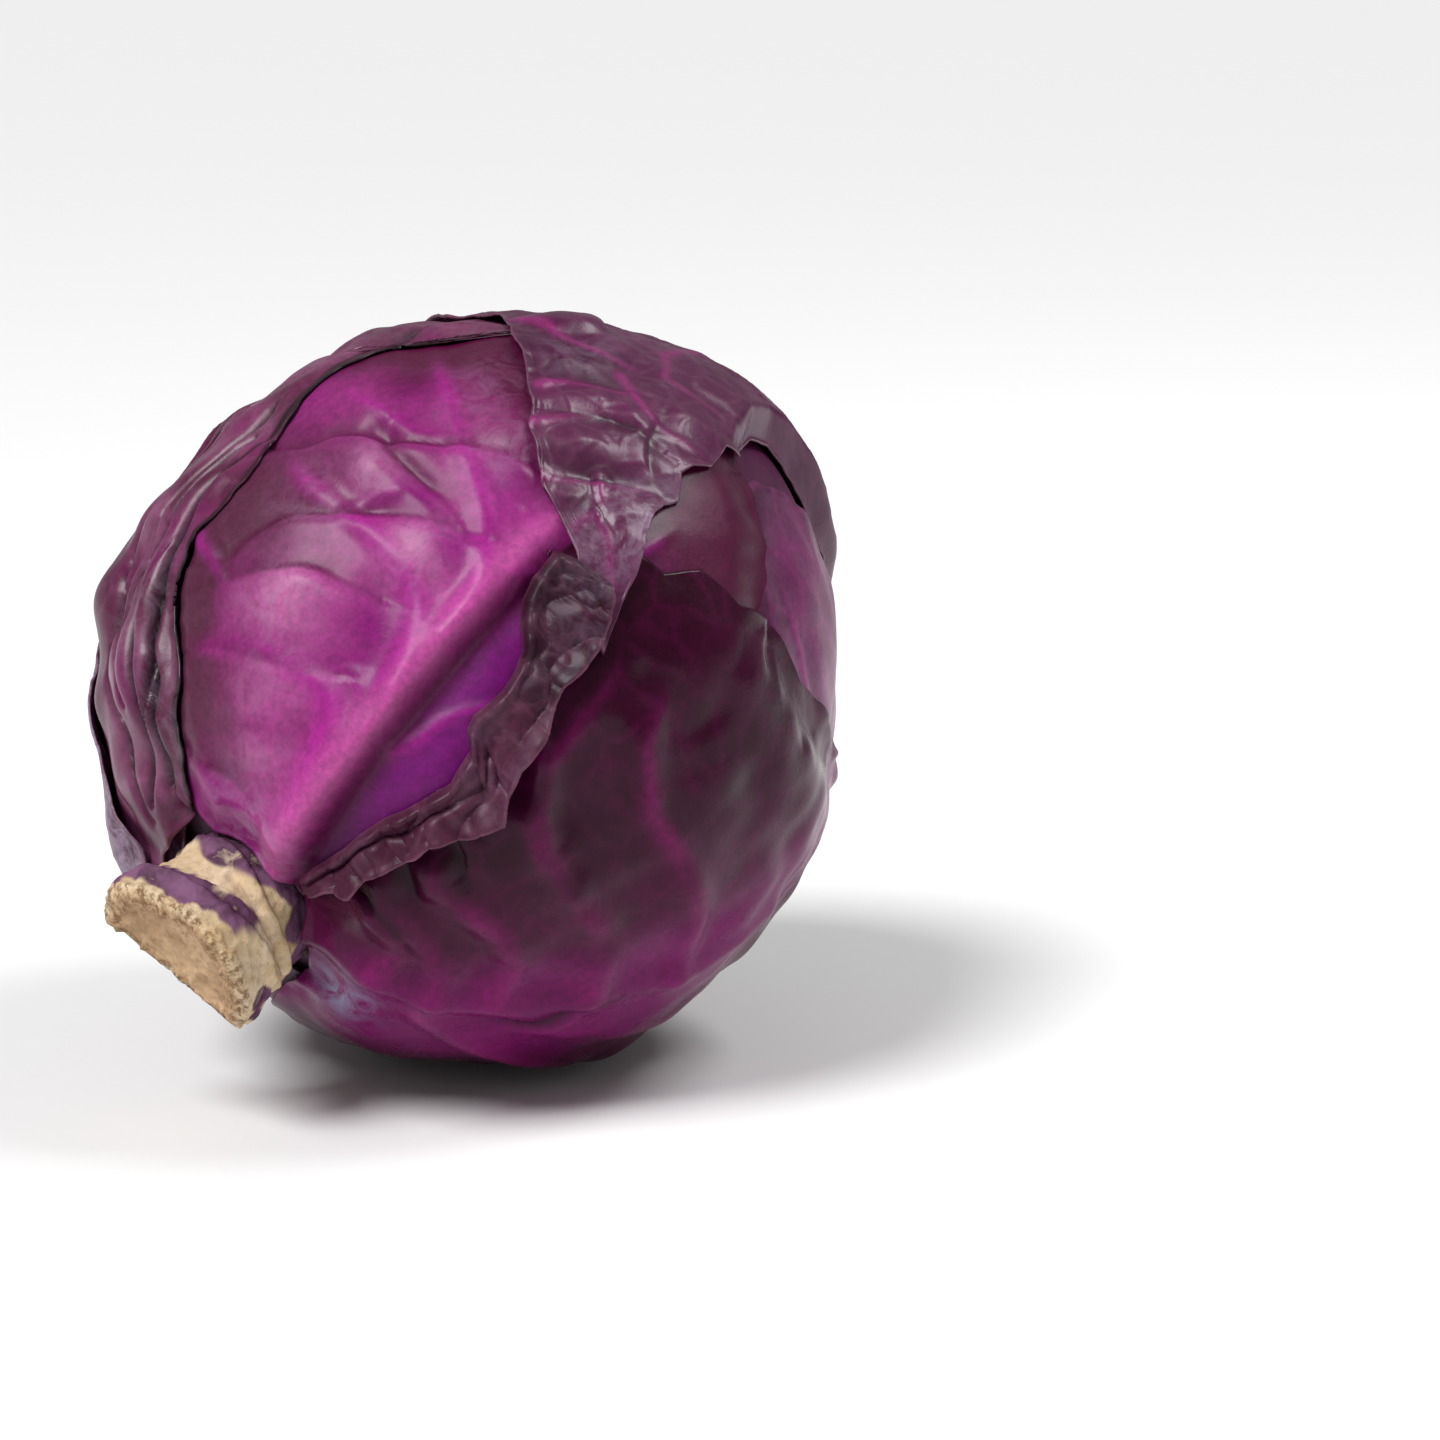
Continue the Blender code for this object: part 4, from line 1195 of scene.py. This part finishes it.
def turned_margin():
    """A band from the fold line to the free line, rolled over at the fold."""
    mesh, x, y = flat_grid("lower_right_leaf_turned_margin", TURNED_DIVISIONS)
    u = (x + 1) / 2
    v = (y + 1) / 2
    steps = np.linspace(0, 1, len(FOLD_LINE))
    outer, inner = (
        rib_point(LOWER_START, *(np.interp(u, steps, places) for places in np.array(line, float).T))
        for line in (FOLD_LINE, FREE_LINE)
    )
    roll = smooth_step(v, 0.0, 0.16)
    reach = np.clip((v - 0.07) / 0.93, -0.02, 1.0)
    jagged = 1.0 + 0.07 * ripple(outer, 0.010, 111) + 0.05 * ripple(outer, 0.004, 112)
    reach = reach * np.where(v > 0.1, jagged, 1.0)
    dirs = unit(outer + (inner - outer) * reach[:, None])
    under = draped(surface, 1.2, 1.4)
    lift = 0.0003 + 0.0011 * roll + 0.0009 * np.exp(-(((v - 0.16) / 0.08) ** 2))
    slant = 0.75 * np.abs(ripple(dirs, 0.0060, 113)) ** 0.6
    slant = slant + 0.30 * np.abs(ripple(dirs, 0.0028, 114)) ** 0.7
    middle = 0.44 + 0.10 * ripple(outer, 0.010, 119)
    groove = np.exp(-(((v - middle) / 0.07) ** 2)) * smooth_step(u, 0.62, 0.5)
    folds = 0.0022 * slant - 0.0010 * groove
    lift = lift + folds * roll + 0.0010 * smooth_step(v, 0.8, 1.0) * (0.6 + 0.6 * ripple(dirs, 0.012, 115))
    ends = smooth_step(u, 0.0, 0.03) * smooth_step(u, 1.0, 0.97)
    radius = resting_form(dirs) + sample(under, dirs) + lift * (0.3 + 0.7 * ends)
    move_points(mesh, in_world(dirs * radius[:, None]))
    threads = net(dirs, 0.0055, 116)
    # Painted highlight: paler along the rolled fold and the lifted free edge; the fine net of veins is the
    # leaf's own.
    edges = 0.8 * smooth_step(v, 0.97, 1.0) + 0.5 * (1 - smooth_step(v, 0.0, 0.10))
    give(mesh, "pale", 0.25 * threads + edges)
    # Darker toward the upper end, with painted shade in the lengthwise groove and in the hollows between the
    # wrinkles.
    shade = 0.95 * smooth_step(u, 0.52, 0.70) + 0.8 * groove + np.exp(-((slant / 0.10) ** 2))
    shade = shade + 0.3 * ripple(dirs, 0.012, 117)
    give(mesh, "deep", shade)
    give(mesh, "bloom", 0.1 + 0.3 * ripple(dirs, 0.015, 118))
    mesh.update()
    mesh.flip_normals()
    # pale: painted highlight on the edges and the fine veins; deep: painted shade in the groove and wrinkle
    # hollows, and the darker upper end
    strip_colours = [("deep", (40, 5, 24)), ("pale", (112, 66, 88))]
    skin = leaf_skin(
        "turned_margin_skin", (60, 18, 40), (78, 34, 56), strip_colours, (104, 82, 104), 0.46, 0.16
    )
    thicken(smooth_object(mesh.name, mesh, skin, "lower_right_leaf"), TURNED_THICKNESS)


turned_margin()

# The stump.
# The stalk's cut end: a short neck with cream sides, the scars and purple stubs of leaves cut off
# with it, a brown corky rim, and a dry fibrous face with one straight side.
STUMP_FACE_FROM_CENTRE = 0.0925
NECK_RADIUS = 0.0150
STUMP_RADIUS = 0.0180
SLANT_FROM_AXIS = 0.0040
SLANT_SLOPE = 0.95
SLANT_DIRECTION = math.radians(165.6)
STUMP_SIDES = 180
STUMP_RINGS = 60
FACE_RINGS = 40
FACE_SHARE = 0.88
LEAF_SCARS = ((0.24, 0.2, 0.0012), (0.50, 2.4, 0.0012), (0.74, 4.1, 0.0009))


def stump_mesh():
    """A profile spun about the stalk, then cut by the slanting face and roughened."""
    source = bmesh.new()
    start = float(inner_radius(direction(0.0, 0.0)))
    length = STUMP_FACE_FROM_CENTRE - start
    level = source.verts.layers.float.new("level")
    profile = [(0.0, 0.0, 0.0)]
    for k in range(STUMP_RINGS):
        t = k / (STUMP_RINGS - 1)
        flare = NECK_RADIUS + (STUMP_RADIUS - NECK_RADIUS) * float(smooth_step(np.array(t), 0.35, 0.85))
        profile.append((flare * (1.0 - 0.12 * max(0.0, t - 0.96) / 0.04), t * length, t))
    for k in range(1, FACE_RINGS):
        profile.append((STUMP_RADIUS * FACE_SHARE * (1.0 - k / FACE_RINGS), length, 1.0 + k / FACE_RINGS))
    profile.append((0.0, length, 2.0))
    corners = []
    for radius, height, t in profile:
        corner = source.verts.new((radius, 0.0, height))
        corner[level] = t
        corners.append(corner)
    edges = [source.edges.new(pair) for pair in zip(corners, corners[1:])]
    bmesh.ops.spin(
        source, geom=corners + edges, cent=(0, 0, 0), axis=(0, 0, 1), angle=2 * math.pi, steps=STUMP_SIDES,
        use_merge=True,
    )
    bmesh.ops.remove_doubles(source, verts=source.verts[:], dist=1e-7)
    levels = np.array([vertex[level] for vertex in source.verts])
    spots = np.array([vertex.co[:] for vertex in source.verts])
    radius = np.hypot(spots[:, 0], spots[:, 1])
    turn = np.arctan2(spots[:, 1], spots[:, 0])
    lobes = 1.0 + 0.05 * np.sin(3 * turn + 0.8) + 0.02 * np.sin(5 * turn + 2.0)
    radius = radius * (1 + (lobes - 1) * smooth_step(levels, 0.2, 0.6))
    from_face = np.maximum(length - spots[:, 2], 0.0)
    slant = (SLANT_FROM_AXIS + SLANT_SLOPE * from_face) / np.maximum(np.cos(turn - SLANT_DIRECTION), 0.05)
    on_face = np.clip(levels - 1.0, 0.0, 1.0)
    limit = slant * np.where(levels > 1.0, 1.0 - on_face, 1.0)
    radius = np.minimum(radius, limit)
    spots = np.stack([radius * np.cos(turn), radius * np.sin(turn), spots[:, 2]], axis=1)
    where = spots / 0.03
    rough = ripple(where, 0.006, 111) * 0.0003 + ripple(where, 0.0028, 112) * 0.00022
    rim = np.exp(-(((levels - 0.97) / 0.06) ** 2)) + np.exp(-((on_face / 0.2) ** 2)) * (levels > 1)
    swell = rough + rim * np.abs(ripple(where, 0.0030, 113)) * 0.0006
    side = np.where(levels < 1.0, swell, 0.0)
    spots[:, 0] += side * np.cos(turn)
    spots[:, 1] += side * np.sin(turn)
    dish = 0.0012 * np.cos(np.clip(radius / STUMP_RADIUS, 0, 1) * math.pi / 2)
    crumbs = rough * 1.3 + rim * 0.0006 * np.abs(ripple(where, 0.0025, 114)) - dish
    spots[:, 2] += np.where(levels >= 0.98, crumbs, 0.0)
    for height, phase, rise in LEAF_SCARS:
        edge = height + 0.12 * np.sin(turn + phase) + 0.04 * np.sin(3 * turn + 2 * phase)
        ledge = rise * smooth_step(levels, edge - 0.03, edge) * smooth_step(levels, edge + 0.16, edge + 0.02)
        spots[:, 0] += np.where(levels < 1.0, ledge, 0.0) * np.cos(turn)
        spots[:, 1] += np.where(levels < 1.0, ledge, 0.0) * np.sin(turn)
    local = np.stack([spots[:, 0], spots[:, 1], -(start + spots[:, 2])], axis=1)
    for vertex, place in zip(source.verts, in_world(local)):
        vertex.co = place
    bmesh.ops.recalc_face_normals(source, faces=source.faces[:])
    mesh = bpy.data.meshes.new("stump")
    source.to_mesh(mesh)
    source.free()
    around_stalk = np.degrees(turn) + 25 * ripple(where, 0.012, 117)
    ragged = levels + 0.05 * ripple(where, 0.006, 116) + 0.03 * np.sin(5 * turn)
    purple = smooth_step(np.abs(ragged - 0.69 + 0.05 * np.sin(2 * turn)), 0.17, 0.13)
    purple = purple * smooth_step(around_stalk, 22.0, 12.0)
    stub = smooth_step(np.hypot((around_stalk - 80) / 22, (ragged - 0.74) / 0.17), 1.0, 0.85)
    at_head = smooth_step(levels + 0.08 * ripple(where, 0.010, 115) + 0.08 * np.sin(3 * turn), 0.28, 0.22)
    purple = np.maximum(np.maximum(purple, stub), at_head)
    give(mesh, "purple", purple * (levels < 0.95))
    give(mesh, "face", levels >= 0.995)
    give(mesh, "rim", rim)
    return mesh


def stump_skin():
    """Cream stalk with tan cork on its cut face and rim, and purple leaf stubs."""
    skin = Skin("stump_skin")
    broad = skin.noise(110.0, 4.0, 0.6, 0.6)
    grain = skin.noise(700.0, 5.0, 0.7)
    cream = skin.mix(skin.fit(broad, 0.35, 0.7), colour(222, 200, 168), colour(194, 164, 120))
    cream = skin.mix(skin.fit(grain, 0.52, 0.7, 0.0, 0.5), cream, colour(150, 112, 74))
    tan = skin.mix(skin.fit(broad, 0.35, 0.65), colour(202, 168, 130), colour(160, 126, 92))
    tan = skin.mix(skin.fit(grain, 0.5, 0.75, 0.0, 0.6), tan, colour(104, 76, 50))
    base = skin.mix(skin.mark("face"), cream, tan)
    dirt = skin.combine("MULTIPLY", skin.mark("rim"), skin.fit(grain, 0.42, 0.6))
    base = skin.mix(dirt, base, colour(126, 92, 58))
    stain = skin.combine("MULTIPLY", skin.mark("purple"), skin.fit(broad, 0.25, 0.4))
    purple_skin = skin.mix(skin.fit(broad, 0.4, 0.62), colour(70, 26, 58), colour(122, 78, 112))
    base = skin.mix(stain, base, purple_skin)
    skin.put(skin.shader.inputs["Base Color"], base)
    skin.put(skin.shader.inputs["Roughness"], skin.fit(broad, 0.3, 0.7, 0.62, 0.85))
    return skin.with_bumps((grain, 0.6, 0.0005), (skin.noise(2200.0, 3.0), 0.5, 0.0002))


smooth_object("stump_cut_end", stump_mesh(), stump_skin(), "stump")
